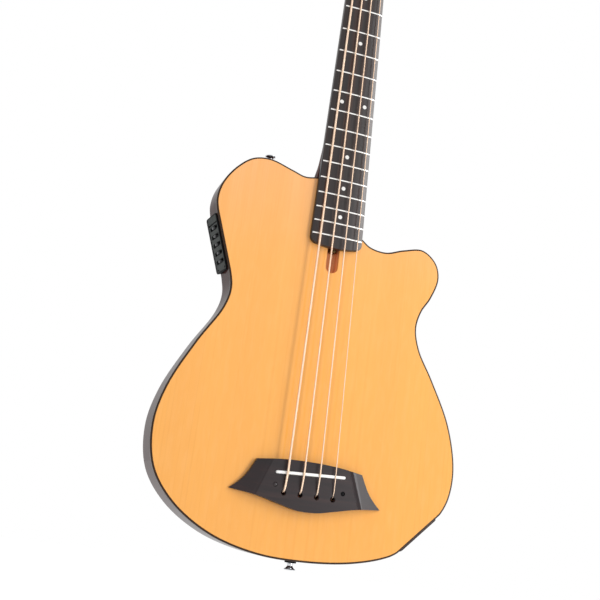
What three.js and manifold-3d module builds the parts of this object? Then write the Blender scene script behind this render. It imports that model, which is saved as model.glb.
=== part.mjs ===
// Acoustic bass guitar with a thin single-cutaway body, four strings and 34 inch scale.
// Millimetres. +Z runs up the neck to the headstock, +Y runs from the soundboard into the body and
// +X points to the treble side. The origin lies where the nut meets the neck, on the plane that the
// soundboard's face and the neck's glue face share.
import * as THREE from 'three';
import { mergeVertices } from 'three/addons/utils/BufferGeometryUtils.js';
import Module from 'manifold-3d';

const wasm = await Module();
wasm.setup();

// Clearances and common small sizes
const glueLine = 0.1;
const fitGap = 0.3;
const overrun = 1;
const farAway = 1500;

// Scale, frets and strings
const scaleLength = 864;
const saddleSetback = 3.75;
const saddleSlant = 4.1;
const stringSpreadAtNut = 29.6;
const stringSpreadAtSaddle = 55.5;
const stringSpreadAtHoles = 57;
const stringDiameterE = 2.6;
const stringDiameterA = 2.1;
const stringDiameterD = 1.65;
const stringDiameterG = 1.15;
const stringOverFretAtNut = 0.6;
const stringSeat = 0.15;
const ballEndRadius = 3.6;
const ballEndLength = 3.2;
const stringBendRun = 2.5;
const fretCount = 20;
const fretWidth = 2.4;
const fretCrown = 1.1;

// Fingerboard, nut and neck
const nutWidth = 38;
const nutThickness = 5;
const boardEndWidth = 63;
const boardThickness = 7;
const boardCrownRadius = 406;
const boardPastLastFret = 10;
const boardEndBulge = 9.5;
const neckDepthAtNut = 21;
const neckDepthAtHeel = 24;
const voluteSwell = 0.5;
const voluteLength = 18;
const heelLength = 60;
const heelFlare = 3.2;

// Truss rod
const rodWidth = 6;
const rodBarTop = 0.5;
const rodTop = 5.6;
const rodBottom = 11.4;
const rodInset = 8;
const rodBarInset = 24;
const rodStub = 6;
const rodStubRadius = 2.5;
const rodNutRadius = 5;
const rodNutLength = 13;
const rodSocketRadius = 2.6;
const rodSocketDepth = 5;

// Headstock and open-gear tuners
const headTiltDegrees = 12;
const headLength = 195;
const headWidth = 84;
const headThickness = 15;
const overlayThickness = 2;
const tunerPlateWidth = 24;
const tunerPlateThickness = 2;
const tunerPlateAbovePost = 24;
const tunerPlateBelowPost = 14;
const tunerEarThickness = 3;
const tunerEarHeight = 11;
const tunerEarWidth = 11;
const postSpread = 54;
const firstPostFromNut = 60;
const postPitch = 65;
const postShaftRadius = 5;
const postDrumRadius = 6;
const postFlangeRadius = 7.2;
const postFlangeThickness = 1;
const postDrumLength = 15;
const postNeckRadius = 3.2;
const postTail = 1.6;
const postHeadBevel = 1.2;
const bushFlangeRadius = 10;
const bushFlangeThickness = 1.6;
const bushBarrelRadius = 8;
const bushBarrelLength = 8;
const gearTeeth = 20;
const gearPitchRadius = 10;
const gearAddendum = 0.7;
const gearDedendum = 1;
const gearFace = 4;
const gearTipThickness = 0.8;
const gearRootThickness = 1.7;
const wormPitchRadius = 4;
const wormAddendum = 0.8;
const wormRootRadius = 3;
const wormThreadLength = 13;
const wormTipThickness = 0.7;
const wormBaseThickness = 1.5;
const wormSink = 0.6;
const keyEndProud = 1.5;
const buttonGap = 4;
const buttonLength = 20;
const buttonHeight = 26;
const buttonThickness = 5;
const buttonCornerRadius = 9;
const windingGap = 0.65;

// Body
const bodyLength = 448.3;
const bodyWidth = 357;
const bodyDepthAtTail = 54;
const bodyDepthAtNeck = 35.5;
const soundboardThickness = 3;
const backThickness = 3;
const sideThickness = 3;
const bindingWidth = 2;
const bindingHeight = 5;
const tongueInset = 4.8;
const liningWidth = 8;
const liningHeight = 5;
const neckBlockWidth = 84;
const neckBlockLength = 79;
const tailBlockWidth = 56;
const tailBlockLength = 20;
const accessSlotWidth = 15;
const accessSlotOffset = 1.2;
const accessSlotPastBoard = 23.5;
const accessSlotGap = 0.5;
const accessSlotWall = 9;
const accessSlotFloor = 2;

// Braces
const braceWidth = 8;
const toneBarHeight = 12;
const transverseBraceHeight = 14;
const backBraceHeight = 11;
const braceEndGap = 1;
const bridgePlateWidth = 150;
const bridgePlateLength = 54;
const bridgePlateThickness = 3;

// Bridge, saddle and pickup
const bridgeWidth = 176;
const bridgeLength = 53.5;
const bridgeBelowSaddle = 40;
const bridgeThickness = 9;
const bridgeTipThickness = 2.5;
const stringHoleSetback = 23.5;
const stringHoleRadius = 2.5;
const saddleLength = 81;
const saddleThickness = 3.3;
const saddleProud = 3.5;
const saddleSlotDepth = 5.6;
const pickupThickness = 1.2;

// Preamp
const preampLength = 68;
const preampHeight = 34;
const preampThickness = 2.2;
const preampCornerRadius = 5;
const housingLength = 61;
const housingWall = 1.2;
const housingWireHoleRadius = 3;
const sliderRoom = 6;
const batteryLength = 48.5;
const batteryWidth = 26.5;
const batteryThickness = 17.5;
const sliderPitch = 10;
const sliderTravel = 7;
const sliderStem = 2;
const sliderStemDepth = 5;
const sliderCapLength = 5.6;
const sliderCapWidth = 4;
const sliderCapHeight = 2.4;

// Output jack
const jackPlateLength = 48;
const jackPlateHeight = 33;
const jackPlateThickness = 2.5;
const jackPlateCornerRadius = 5;
const jackPlateDepth = 20.5;
const jackBoreRadius = 3.3;
const jackThreadRadius = 4.7;
const jackNutRadius = 7.5;
const jackNutThickness = 2.4;
const jackLip = 1.6;
const jackBodyRadius = 9.5;
const jackBodyLength = 27;
const jackBoreEnd = 3;

// Strap buttons
const strapButtonRadius = 6.5;
const strapButtonWaist = 3.2;
const strapButtonBase = 5;
const strapButtonHeight = 10.4;
const strapButtonFootHeight = 1.1;
const strapButtonWaistHeight = 3;
const strapButtonWaistLength = 1.5;
const strapButtonRimThickness = 1.5;
const strapWasherThickness = 1.4;
const strapScrewRadius = 2;
const strapScrewLength = 17;
const shoulderScrewLength = 8;

// Counts of strings and controls, and the fret that the body meets the neck at
const stringCount = 4;
const sliderCount = 5;
const jointFret = 16;

// Counts of flat steps on round forms
const roundSides = 12;
const postSides = 10;
const hexSides = 6;
const stringSides = 8;
const windingSteps = 12;
const windingTurns = 2.5;
const wormSteps = 6;
const outlineSteps = 2;
const crownSides = 160;
const boardEndSteps = 10;
const neckSideSteps = 10;
const cornerSteps = 3;

// Outline of the body from the neck joint down the bass side, round the tail and up the treble side
// to the cutaway: x as a share of the body's width, z as a share of its length above the tail.
const outlineShares = [
  [-0.132, 0.974], [-0.179, 0.984], [-0.258, 1.0], [-0.317, 0.992], [-0.367, 0.959],
  [-0.408, 0.907], [-0.419, 0.861], [-0.409, 0.823], [-0.344, 0.68], [-0.332, 0.633],
  [-0.346, 0.583], [-0.415, 0.486], [-0.485, 0.366], [-0.508, 0.272], [-0.485, 0.172],
  [-0.412, 0.098], [-0.289, 0.038], [-0.14, 0.006], [0.006, 0], [0.157, 0.009],
  [0.269, 0.031], [0.319, 0.053], [0.434, 0.143], [0.479, 0.196], [0.494, 0.272],
  [0.462, 0.382], [0.391, 0.492], [0.335, 0.567], [0.318, 0.622], [0.331, 0.669],
  [0.361, 0.711], [0.384, 0.769], [0.369, 0.812], [0.317, 0.841], [0.246, 0.83],
  [0.183, 0.813], [0.126, 0.818], [0.095, 0.834],
];
const preampTopShare = outlineShares[7];
const preampBottomShare = outlineShares[8];
const flatLowShare = outlineShares[21];
const flatHighShare = outlineShares[22];
const jointHeightShare = 0.979;
const tongueFootShare = 0.842;
const shoulderButtonShare = -0.25;
const upperBackBraceShare = 0.62;
const lowerBackBraceShare = 0.27;

// Half outline of the headstock: x as a share of half its width, z as a share of its length.
const headOutlineShares = [
  [0.452, 0], [0.48, 0.06], [0.88, 0.16], [1, 0.27],
  [0.975, 0.6], [0.9, 0.84], [0.55, 0.96], [0, 1],
];

// Half outline of the bridge: x as a share of half its width, z as a share of its length.
const bridgeOutlineShares = [
  [0, 1], [0.36, 0.978], [0.697, 0.912], [0.802, 0.589], [0.898, 0.402],
  [1, 0.26], [0.659, 0.196], [0.352, 0.084], [0, 0],
];
const wingRidgeTopShare = [0.51, 0.9];
const wingRidgeFootShare = [0.67, 0.2];
const wingTipShare = [1, 0.26];

// Growth of the heel: place along the heel, depth gained and squareness gained, each from 0 to 1.
const heelShares = [
  [0, 0, 0], [0.28, 0.07, 0.1], [0.52, 0.27, 0.3],
  [0.72, 0.55, 0.5], [0.88, 0.85, 0.8], [1, 1, 1],
];
const neckRoundnessShare = 0.75;
const heelRoundnessShare = 0.42;
const boardEndRoundness = 4;

// Places worked out from the sizes above
const fretsPerOctave = 12;

function fretZ(number) {
  return -scaleLength * (1 - 2 ** (-number / fretsPerOctave));
}

const saddleZ = -(scaleLength + saddleSetback);
const jointZ = fretZ(jointFret);
const tailZ = jointZ - jointHeightShare * bodyLength;
const headTilt = THREE.MathUtils.degToRad(headTiltDegrees);
const boardCornerZ = fretZ(fretCount) - boardPastLastFret;
const boardEndZ = boardCornerZ - boardEndBulge;
const slotEndZ = boardEndZ - accessSlotPastBoard;
const trayFootZ = slotEndZ - accessSlotWall;
const neckBlockEndZ = jointZ - neckBlockLength;
const rodNutY = (rodTop + rodBottom) / 2;
const rodBarEndZ = jointZ + rodBarInset;
const rodNutTopZ = boardCornerZ + rodNutLength / 2;
const slotFloorY = rodNutY + rodNutRadius + accessSlotGap;

function boardWidth(z) {
  return nutWidth + (boardEndWidth - nutWidth) * (z / boardCornerZ);
}

function bodyDepth(z) {
  return bodyDepthAtTail + (bodyDepthAtNeck - bodyDepthAtTail) * ((z - tailZ) / (jointZ - tailZ));
}

// Solids from three.js geometry, and back

// A closed solid from a geometry: equal corners are joined and the faces are turned to point out.
function solidOf(geometry) {
  const bare = geometry.clone();
  bare.deleteAttribute('normal');
  bare.deleteAttribute('uv');
  const merged = mergeVertices(bare);
  const corners = merged.attributes.position;
  const faces = [];
  let volume = 0;
  for (let i = 0; i < merged.index.count; i += 3) {
    const [a, b, c] = [0, 1, 2].map((k) => merged.index.getX(i + k));
    if (a === b || b === c || c === a) continue;
    const [p, q, r] = [a, b, c].map((k) => new THREE.Vector3().fromBufferAttribute(corners, k));
    volume += p.dot(q.cross(r));
    faces.push([a, b, c]);
  }
  const outward = volume > 0 ? faces : faces.map(([a, b, c]) => [a, c, b]);
  return new wasm.Manifold(new wasm.Mesh({
    numProp: 3,
    vertProperties: new Float32Array(corners.array),
    triVerts: new Uint32Array(outward.flat()),
  }));
}

function geometryOf(solid) {
  const mesh = solid.getMesh();
  const geometry = new THREE.BufferGeometry();
  geometry.setAttribute('position', new THREE.BufferAttribute(mesh.vertProperties, 3));
  geometry.setIndex(new THREE.BufferAttribute(mesh.triVerts, 1));
  geometry.computeVertexNormals();
  return geometry;
}

function joined(solids) {
  return solids.reduce((whole, next) => whole.add(next));
}

function placed(geometry, frame) {
  return solidOf(frame ? geometry.applyMatrix4(frame) : geometry);
}

// A box between two x, two y and two z values.
function box(x, y, z, frame) {
  const geometry = new THREE.BoxGeometry(x[1] - x[0], y[1] - y[0], z[1] - z[0]);
  geometry.translate((x[0] + x[1]) / 2, (y[0] + y[1]) / 2, (z[0] + z[1]) / 2);
  return placed(geometry, frame);
}

// A flat plate with its outline in x and z, between two depths y.
function plate(outline, y, frame) {
  const options = { depth: y[1] - y[0], bevelEnabled: false };
  const geometry = new THREE.ExtrudeGeometry(new THREE.Shape(outline), options);
  geometry.rotateX(Math.PI / 2);
  geometry.translate(0, y[1], 0);
  return placed(geometry, frame);
}

// A flat plate with its outline in x and y, between two heights z.
function slab(outline, z, frame) {
  const options = { depth: z[1] - z[0], bevelEnabled: false };
  const geometry = new THREE.ExtrudeGeometry(new THREE.Shape(outline), options);
  geometry.translate(0, 0, z[0]);
  return placed(geometry, frame);
}

// A round bar along the axis 'x', 'y' or 'z', between two places on it. centre holds the other two places.
function bar(axis, radius, span, centre, sides, frame) {
  const geometry = new THREE.CylinderGeometry(radius, radius, span[1] - span[0], sides);
  const middle = (span[0] + span[1]) / 2;
  if (axis === 'x') {
    geometry.rotateZ(Math.PI / 2);
    geometry.translate(middle, centre[0], centre[1]);
  } else if (axis === 'y') {
    geometry.translate(centre[0], middle, centre[1]);
  } else {
    geometry.rotateX(Math.PI / 2);
    geometry.translate(centre[0], centre[1], middle);
  }
  return placed(geometry, frame);
}

// A turned piece about the y axis, from [radius, height] pairs.
function turned(profile, sides) {
  const points = profile.map(([radius, height]) => new THREE.Vector2(radius, height));
  return new THREE.LatheGeometry(points, sides);
}

// A closed skin through rings of equally many points, with a flat fan over each end.
function loft(rings) {
  const around = rings[0].length;
  const last = rings.length - 1;
  const faces = [];
  for (let i = 0; i < last; i += 1) {
    for (let k = 0; k < around; k += 1) {
      const next = (k + 1) % around;
      const [a, b] = [i * around + k, i * around + next];
      faces.push(a, b, b + around, a, b + around, a + around);
    }
  }
  for (let k = 1; k < around - 1; k += 1) {
    faces.push(0, k + 1, k);
    faces.push(last * around, last * around + k, last * around + k + 1);
  }
  const geometry = new THREE.BufferGeometry().setFromPoints(rings.flat());
  geometry.setIndex(faces);
  return geometry;
}

// A path that passes through its points one step at a time, turning halfway at each of them.
class Route extends THREE.Curve {
  constructor(points) {
    super();
    this.points = points;
  }

  getPointAt(share) {
    return this.points[Math.round(share * (this.points.length - 1))].clone();
  }

  getTangentAt(share) {
    const here = Math.round(share * (this.points.length - 1));
    const [before, at, after] = [here - 1, here, here + 1].map((i) => this.points[i]);
    const along = new THREE.Vector3();
    if (before) along.add(at.clone().sub(before).normalize());
    if (after) along.add(after.clone().sub(at).normalize());
    return along.normalize();
  }
}

function circle(radius, sides) {
  return Array.from({ length: sides }, (_, i) => {
    const angle = (2 * Math.PI * i) / sides;
    return new THREE.Vector2(radius * Math.cos(angle), radius * Math.sin(angle));
  });
}

// A tube of a few flat sides along a list of points.
function tube(points, radius, sides) {
  const shape = new THREE.Shape(circle(radius, sides));
  return new THREE.ExtrudeGeometry(shape, { steps: points.length - 1, extrudePath: new Route(points) });
}

// A rectangle with round corners about a centre.
function roundedRectangle(length, height, radius) {
  const points = [];
  for (let corner = 0; corner < 4; corner += 1) {
    const sideX = corner === 0 || corner === 3 ? 1 : -1;
    const sideY = corner < 2 ? 1 : -1;
    for (let i = 0; i <= cornerSteps; i += 1) {
      const angle = (corner + i / cornerSteps) * (Math.PI / 2);
      points.push(new THREE.Vector2(
        sideX * (length / 2 - radius) + radius * Math.cos(angle),
        sideY * (height / 2 - radius) + radius * Math.sin(angle),
      ));
    }
  }
  return points;
}

// The far side of the plane through three points, on the side of the soundboard's face.
function aboveFace(a, b, c) {
  const along = b.clone().sub(a).normalize();
  const normal = b.clone().sub(a).cross(c.clone().sub(a)).normalize();
  if (normal.y > 0) normal.negate();
  const across = normal.clone().cross(along);
  const geometry = new THREE.BoxGeometry(farAway, farAway, farAway);
  geometry.translate(0, 0, farAway / 2);
  geometry.applyMatrix4(new THREE.Matrix4().makeBasis(along, across, normal).setPosition(a));
  return solidOf(geometry);
}

// The body's outline

function bodyPoint([xShare, zShare]) {
  return new THREE.Vector2(xShare * bodyWidth, tailZ + zShare * bodyLength);
}

function bodyOutline() {
  const bassJoint = new THREE.Vector3(-(boardWidth(jointZ) / 2 + heelFlare), jointZ, 0);
  const spline = outlineShares.map(bodyPoint).map((point) => new THREE.Vector3(point.x, point.y, 0));
  const curve = new THREE.CatmullRomCurve3([bassJoint, ...spline], false, 'centripetal');
  const points = curve.getPoints(outlineSteps * spline.length)
    .map((point) => new THREE.Vector2(point.x, point.y));
  const tongueX = boardWidth(jointZ) / 2 - tongueInset;
  points.push(new THREE.Vector2(tongueX, tailZ + tongueFootShare * bodyLength));
  points.push(new THREE.Vector2(tongueX, jointZ));
  return points;
}

const outline = bodyOutline();

// The outline moved in by a distance, or out by a negative one.
function rim(inset) {
  const inward = (from, to) => {
    const [x, y] = to.clone().sub(from).normalize().toArray();
    return new THREE.Vector2(-y, x);
  };
  return outline.map((point, i) => {
    const before = outline[(i + outline.length - 1) % outline.length];
    const after = outline[(i + 1) % outline.length];
    const inBefore = inward(before, point);
    const inAfter = inward(point, after);
    const reach = inset / (1 + inBefore.dot(inAfter));
    return point.clone().addScaledVector(inBefore.add(inAfter), reach);
  });
}

// The height where the outline crosses a line of constant x, at the top of the body.
function topOfBody(x) {
  let highest = tailZ;
  outline.forEach((point, i) => {
    const next = outline[(i + 1) % outline.length];
    if ((point.x - x) * (next.x - x) > 0 || point.x === next.x) return;
    const share = (x - point.x) / (next.x - point.x);
    highest = Math.max(highest, point.y + (next.y - point.y) * share);
  });
  return highest;
}

// The space between two surfaces that lie at set distances in front of the back's outer face.
function behindLayer(near, far) {
  const heights = [tailZ - farAway, jointZ + farAway];
  const section = [
    new THREE.Vector2(bodyDepth(heights[0]) - near, heights[0]),
    new THREE.Vector2(bodyDepth(heights[1]) - near, heights[1]),
    new THREE.Vector2(bodyDepth(heights[1]) - far, heights[1]),
    new THREE.Vector2(bodyDepth(heights[0]) - far, heights[0]),
  ];
  const across = new THREE.Matrix4().makeBasis(
    new THREE.Vector3(0, 1, 0),
    new THREE.Vector3(0, 0, 1),
    new THREE.Vector3(1, 0, 0),
  );
  return slab(section, [-farAway, farAway], across);
}

// A frame on a straight stretch of the body's side: x along the stretch, y into the body's depth and
// z straight out of the wall.
function wallFrame(fromShare, toShare, depth) {
  const from = bodyPoint(fromShare);
  const to = bodyPoint(toShare);
  const along = new THREE.Vector3(to.x - from.x, 0, to.y - from.y).normalize();
  const inward = new THREE.Vector3(0, 1, 0);
  const out = along.clone().cross(inward);
  const centre = new THREE.Vector3((from.x + to.x) / 2, depth, (from.y + to.y) / 2);
  return new THREE.Matrix4().makeBasis(along, inward, out).setPosition(centre);
}

const preampTopZ = bodyPoint(preampTopShare).y;
const preampDepth = (soundboardThickness + bodyDepth(preampTopZ) - backThickness) / 2;
const preampFrame = wallFrame(preampBottomShare, preampTopShare, preampDepth);
const jackFrame = wallFrame(flatHighShare, flatLowShare, jackPlateDepth);
const headFrame = new THREE.Matrix4().makeRotationX(-headTilt);
const housingHeight = batteryThickness + 2 * (fitGap + housingWall);
const housingDepth = sliderRoom + batteryWidth + fitGap + housingWall;

const interior = [soundboardThickness + glueLine, backThickness + glueLine];
const deepest = bodyDepthAtTail + overrun;
const backSpace = behindLayer(interior[1], -farAway);

function housingSpace(gap) {
  const [x, y] = [housingLength / 2 + gap, housingHeight / 2 + gap];
  return box([-x, x], [-y, y], [-(housingDepth + gap), overrun], preampFrame);
}

// Body shell

// What stands out past a straight stretch of the wall, where a plate lies flat on it.
function wallSeat(length, frame) {
  const half = length / 2 + fitGap;
  return box([-half, half], [-farAway, farAway], [0, farAway], frame);
}

function bodyWall() {
  const rebate = plate(rim(-overrun), [-overrun, bindingHeight + glueLine])
    .subtract(plate(rim(bindingWidth + glueLine), [-farAway, farAway]));
  const seats = [
    wallSeat(preampLength, preampFrame),
    wallSeat(jackPlateLength, jackFrame),
    jackHole(),
    housingSpace(fitGap),
    rodSpace(),
    strapScrewSpace(),
    shoulderScrewSpace(),
  ];
  return plate(rim(0), [interior[0], deepest])
    .subtract(plate(rim(sideThickness), [-overrun, deepest + overrun]))
    .subtract(rebate)
    .subtract(backSpace)
    .subtract(joined(seats));
}

function jackHole() {
  const span = [-sideThickness - overrun, overrun];
  return bar('z', jackBodyRadius + fitGap, span, [0, 0], roundSides, jackFrame);
}

function rodSpace() {
  const half = rodWidth / 2 + fitGap;
  const y = [rodTop - fitGap, rodBottom + fitGap];
  return box([-half, half], y, [neckBlockEndZ - overrun, jointZ + overrun]);
}

function strapScrewSpace() {
  const span = [tailZ - overrun, tailZ + strapScrewLength + overrun];
  return bar('z', strapScrewRadius + fitGap, span, [0, bodyDepthAtTail / 2], roundSides);
}

const shoulderX = shoulderButtonShare * bodyWidth;
const shoulderZ = topOfBody(shoulderX);

function shoulderScrewSpace() {
  const span = [shoulderZ - shoulderScrewLength - overrun, shoulderZ + overrun];
  return bar('z', strapScrewRadius + fitGap, span, [shoulderX, bodyDepthAtNeck / 2], roundSides);
}

// The slot that the truss rod's nut is reached through, with its round end, between two depths.
function accessSlot(y) {
  const half = accessSlotWidth / 2;
  const x = [-half - accessSlotOffset, half - accessSlotOffset];
  return box(x, y, [slotEndZ + half, rodNutTopZ + fitGap])
    .add(bar('y', half, y, [-accessSlotOffset, slotEndZ + half], roundSides));
}

function soundboard() {
  return plate(rim(bindingWidth + glueLine), [0, soundboardThickness])
    .subtract(accessSlot([-overrun, interior[0]]))
    .subtract(stringHoles([-overrun, interior[0]]));
}

function topBinding() {
  return plate(rim(0), [0, bindingHeight])
    .subtract(plate(rim(bindingWidth), [-overrun, bindingHeight + overrun]))
    .subtract(wallSeat(preampLength, preampFrame))
    .subtract(wallSeat(jackPlateLength, jackFrame));
}

function backPlate() {
  return plate(rim(0), [0, deepest + overrun]).intersect(behindLayer(backThickness, 0));
}

// Blocks, linings and braces inside the body

function insideRim(inset) {
  return plate(rim(inset), [interior[0], deepest]);
}

function neckBlockSpace(gap) {
  const half = neckBlockWidth / 2 + gap;
  return box([-half, half], [-farAway, farAway], [neckBlockEndZ - gap, farAway]);
}

function neckBlock() {
  return insideRim(sideThickness + glueLine)
    .intersect(neckBlockSpace(0))
    .subtract(backSpace)
    .subtract(rodSpace())
    .subtract(accessSlot([-overrun, slotFloorY]));
}

// The tray under the soundboard's slot, open towards the neck block.
function slotTray() {
  const half = accessSlotWidth / 2 + accessSlotWall;
  const x = [-half - accessSlotOffset, half - accessSlotOffset];
  const y = [interior[0], slotFloorY + accessSlotFloor];
  return box(x, y, [trayFootZ, neckBlockEndZ - glueLine])
    .subtract(accessSlot([-overrun, slotFloorY]));
}

function lining(y) {
  return plate(rim(sideThickness + glueLine), y)
    .subtract(plate(rim(sideThickness + liningWidth), [-farAway, farAway]))
    .subtract(neckBlockSpace(glueLine))
    .subtract(housingSpace(fitGap));
}

function topLining() {
  return lining([interior[0], interior[0] + liningHeight]);
}

function backLining() {
  return lining([interior[0], deepest])
    .intersect(behindLayer(interior[1] + liningHeight, interior[1]));
}

function tailBlock() {
  const half = tailBlockWidth / 2;
  const z = [tailZ, tailZ + sideThickness + tailBlockLength];
  return plate(rim(sideThickness + glueLine), [interior[0] + liningHeight + glueLine, deepest])
    .intersect(box([-half, half], [-farAway, farAway], z))
    .subtract(behindLayer(interior[1] + liningHeight + glueLine, -farAway))
    .subtract(strapScrewSpace());
}

const cavityInset = sideThickness + liningWidth + braceEndGap;
const transverseBraceZ = trayFootZ - braceEndGap - braceWidth / 2;

function toneBar(side) {
  const middle = side * (bridgePlateWidth / 2 + braceEndGap + braceWidth / 2);
  const [low, high] = [middle - braceWidth / 2, middle + braceWidth / 2];
  const top = transverseBraceZ - braceWidth / 2 - braceEndGap;
  return insideRim(cavityInset)
    .intersect(box([low, high], [interior[0], interior[0] + toneBarHeight], [tailZ, top]));
}

function upperTransverseBrace() {
  const z = [transverseBraceZ - braceWidth / 2, transverseBraceZ + braceWidth / 2];
  return insideRim(cavityInset)
    .intersect(box([-farAway, farAway], [0, interior[0] + transverseBraceHeight], z))
    .subtract(housingSpace(braceEndGap));
}

function backBrace(heightShare) {
  const middle = tailZ + heightShare * bodyLength;
  const z = [middle - braceWidth / 2, middle + braceWidth / 2];
  return insideRim(cavityInset)
    .intersect(box([-farAway, farAway], [0, farAway], z))
    .intersect(behindLayer(interior[1] + backBraceHeight, interior[1]))
    .subtract(housingSpace(braceEndGap));
}

function bridgePlate() {
  const half = [bridgePlateWidth / 2, bridgePlateLength / 2];
  const middle = saddleZ - stringHoleSetback / 2;
  const y = [interior[0], interior[0] + bridgePlateThickness];
  return box([-half[0], half[0]], y, [middle - half[1], middle + half[1]])
    .subtract(stringHoles([-overrun, y[1] + overrun]));
}

// Fingerboard, nut and neck

function boardOutline() {
  const points = [new THREE.Vector2(nutWidth / 2, -glueLine), new THREE.Vector2(-nutWidth / 2, -glueLine)];
  for (let i = 0; i <= boardEndSteps; i += 1) {
    const side = -1 + (2 * i) / boardEndSteps;
    const drop = boardEndBulge * (1 - Math.abs(side) ** boardEndRoundness);
    points.push(new THREE.Vector2((side * boardEndWidth) / 2, boardCornerZ - drop));
  }
  return points;
}

// Everything under a long round crown whose top line lies at a height over the glue plane.
function underCrown(height, radius) {
  const span = [tailZ - overrun, headLength];
  return bar('z', radius, span, [0, radius - height], crownSides);
}

function fingerboard() {
  const board = plate(boardOutline(), [-boardThickness, -glueLine])
    .intersect(underCrown(boardThickness, boardCrownRadius));
  const frets = [];
  for (let number = 1; number <= fretCount; number += 1) {
    const z = [fretZ(number) - fretWidth / 2, fretZ(number) + fretWidth / 2];
    frets.push(box([-boardEndWidth, boardEndWidth], [-farAway, -boardThickness / 2], z));
  }
  const crown = plate(boardOutline(), [-boardThickness - fretCrown - overrun, -boardThickness / 2])
    .intersect(underCrown(boardThickness + fretCrown, boardCrownRadius + fretCrown));
  return board.add(crown.intersect(joined(frets)));
}

function nut() {
  const top = boardThickness + fretCrown + stringOverFretAtNut + stringDiameterG / 2;
  const blank = box([-nutWidth / 2, nutWidth / 2], [-top, -glueLine], [glueLine, nutThickness]);
  const slots = strings.map((string) => {
    const { atSaddle, atNut, coil } = string;
    const before = atNut.clone().add(atSaddle.clone().sub(atNut).setLength(nutThickness));
    return solidOf(tube([before, atNut, coil[0]], string.radius + stringSeat, stringSides));
  });
  return blank.subtract(joined(slots));
}

// One section of the neck: its top edge, its depth and how square it is, with the treble side drawn in.
function neckRing(z, top, depth, roundness, flare, drawIn) {
  const half = boardWidth(Math.min(z, 0)) / 2;
  const bass = -half - flare;
  const treble = half - drawIn;
  const ring = [];
  for (let i = 0; i <= neckSideSteps; i += 1) {
    const angle = (Math.PI * i) / neckSideSteps;
    const x = (bass + treble) / 2 - ((treble - bass) / 2) * Math.cos(angle);
    ring.push(new THREE.Vector3(x, top + (depth - top) * Math.sin(angle) ** roundness, z));
  }
  return ring;
}

function neckRings() {
  const headTop = (z) => z * Math.tan(headTilt);
  const backOfHead = (z) => headTop(z) + headThickness / Math.cos(headTilt);
  const voluteEnd = nutThickness + voluteLength;
  const voluteDepth = neckDepthAtNut + voluteSwell;
  const plain = (z, top, depth) => neckRing(z, top, depth, neckRoundnessShare, 0, 0);
  const rings = [
    plain(voluteEnd, headTop(voluteEnd) + overrun, backOfHead(voluteEnd) - voluteSwell),
    plain(nutThickness + overrun, headTop(nutThickness) + overrun, voluteDepth),
    plain(nutThickness, 0, voluteDepth),
    plain(-voluteLength, 0, neckDepthAtNut),
  ];
  const heelDepth = bodyDepth(jointZ) - neckDepthAtHeel;
  for (const [along, deeper, squarer] of heelShares) {
    rings.push(neckRing(
      jointZ + glueLine + heelLength * (1 - along),
      0,
      neckDepthAtHeel + heelDepth * deeper,
      neckRoundnessShare + (heelRoundnessShare - neckRoundnessShare) * squarer,
      heelFlare * squarer,
      tongueInset * squarer,
    ));
  }
  return rings;
}

function headOutline() {
  const half = headOutlineShares.map(([x, z]) => new THREE.Vector3((x * headWidth) / 2, z * headLength, 0));
  const curve = new THREE.CatmullRomCurve3(half, false, 'centripetal');
  const right = curve.getPoints(outlineSteps * (half.length - 1))
    .map((point) => new THREE.Vector2(point.x, point.y));
  const left = right.slice(0, -1).map((point) => new THREE.Vector2(-point.x, point.y)).reverse();
  return [...right, ...left];
}

function neck() {
  const head = plate(headOutline(), [0, headThickness], headFrame);
  const through = [-overrun, headThickness + overrun];
  const half = rodWidth / 2 + fitGap;
  const bottom = rodBottom + fitGap;
  const end = -rodInset + fitGap;
  return solidOf(loft(neckRings()))
    .add(head)
    .subtract(postHoles(bushBarrelRadius + fitGap, through, headFrame))
    .subtract(box([-half, half], [rodTop - fitGap, bottom], [jointZ - overrun, end]))
    .subtract(box([-half, half], [-overrun, bottom], [rodBarEndZ - fitGap, end]));
}

function trussRod() {
  const half = rodWidth / 2;
  const lowEnd = rodNutTopZ + fitGap;
  return box([-half, half], [rodTop, rodBottom], [lowEnd, -rodInset])
    .add(box([-half, half], [rodBarTop, rodTop + overrun], [rodBarEndZ, -rodInset]))
    .add(bar('z', rodStubRadius, [lowEnd - rodStub, lowEnd + overrun], [0, rodNutY], postSides));
}

function trussRodNut() {
  const axis = [0, rodNutY];
  const span = [rodNutTopZ - rodNutLength, rodNutTopZ];
  const socket = [span[0] - overrun, span[0] + rodSocketDepth];
  const bore = [span[1] - rodStub - fitGap, span[1] + overrun];
  return bar('z', rodNutRadius, span, axis, postSides)
    .subtract(bar('z', rodSocketRadius, socket, axis, hexSides))
    .subtract(bar('z', rodStubRadius + fitGap, bore, axis, postSides));
}

// Headstock overlay and tuners, in the headstock's own frame

const posts = [
  { name: 'e', side: -1, place: 0 },
  { name: 'a', side: -1, place: 1 },
  { name: 'd', side: 1, place: 1 },
  { name: 'g', side: 1, place: 0 },
].map((post) => ({
  ...post,
  x: (post.side * postSpread) / 2,
  z: firstPostFromNut + post.place * postPitch,
}));

const plateBack = headThickness + glueLine + tunerPlateThickness;
const wormOuterRadius = wormPitchRadius + wormAddendum;
const gearY = plateBack + wormOuterRadius + fitGap;
const centreDistance = gearPitchRadius + wormPitchRadius;
const bushTop = -(overlayThickness + 2 * glueLine + bushFlangeThickness);
const drumFoot = bushTop - fitGap - postFlangeThickness;
const wormPitch = (2 * Math.PI * gearPitchRadius) / gearTeeth;

function postHoles(radius, y, frame) {
  return joined(posts.map((post) => bar('y', radius, y, [post.x, post.z], roundSides, frame)));
}

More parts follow.
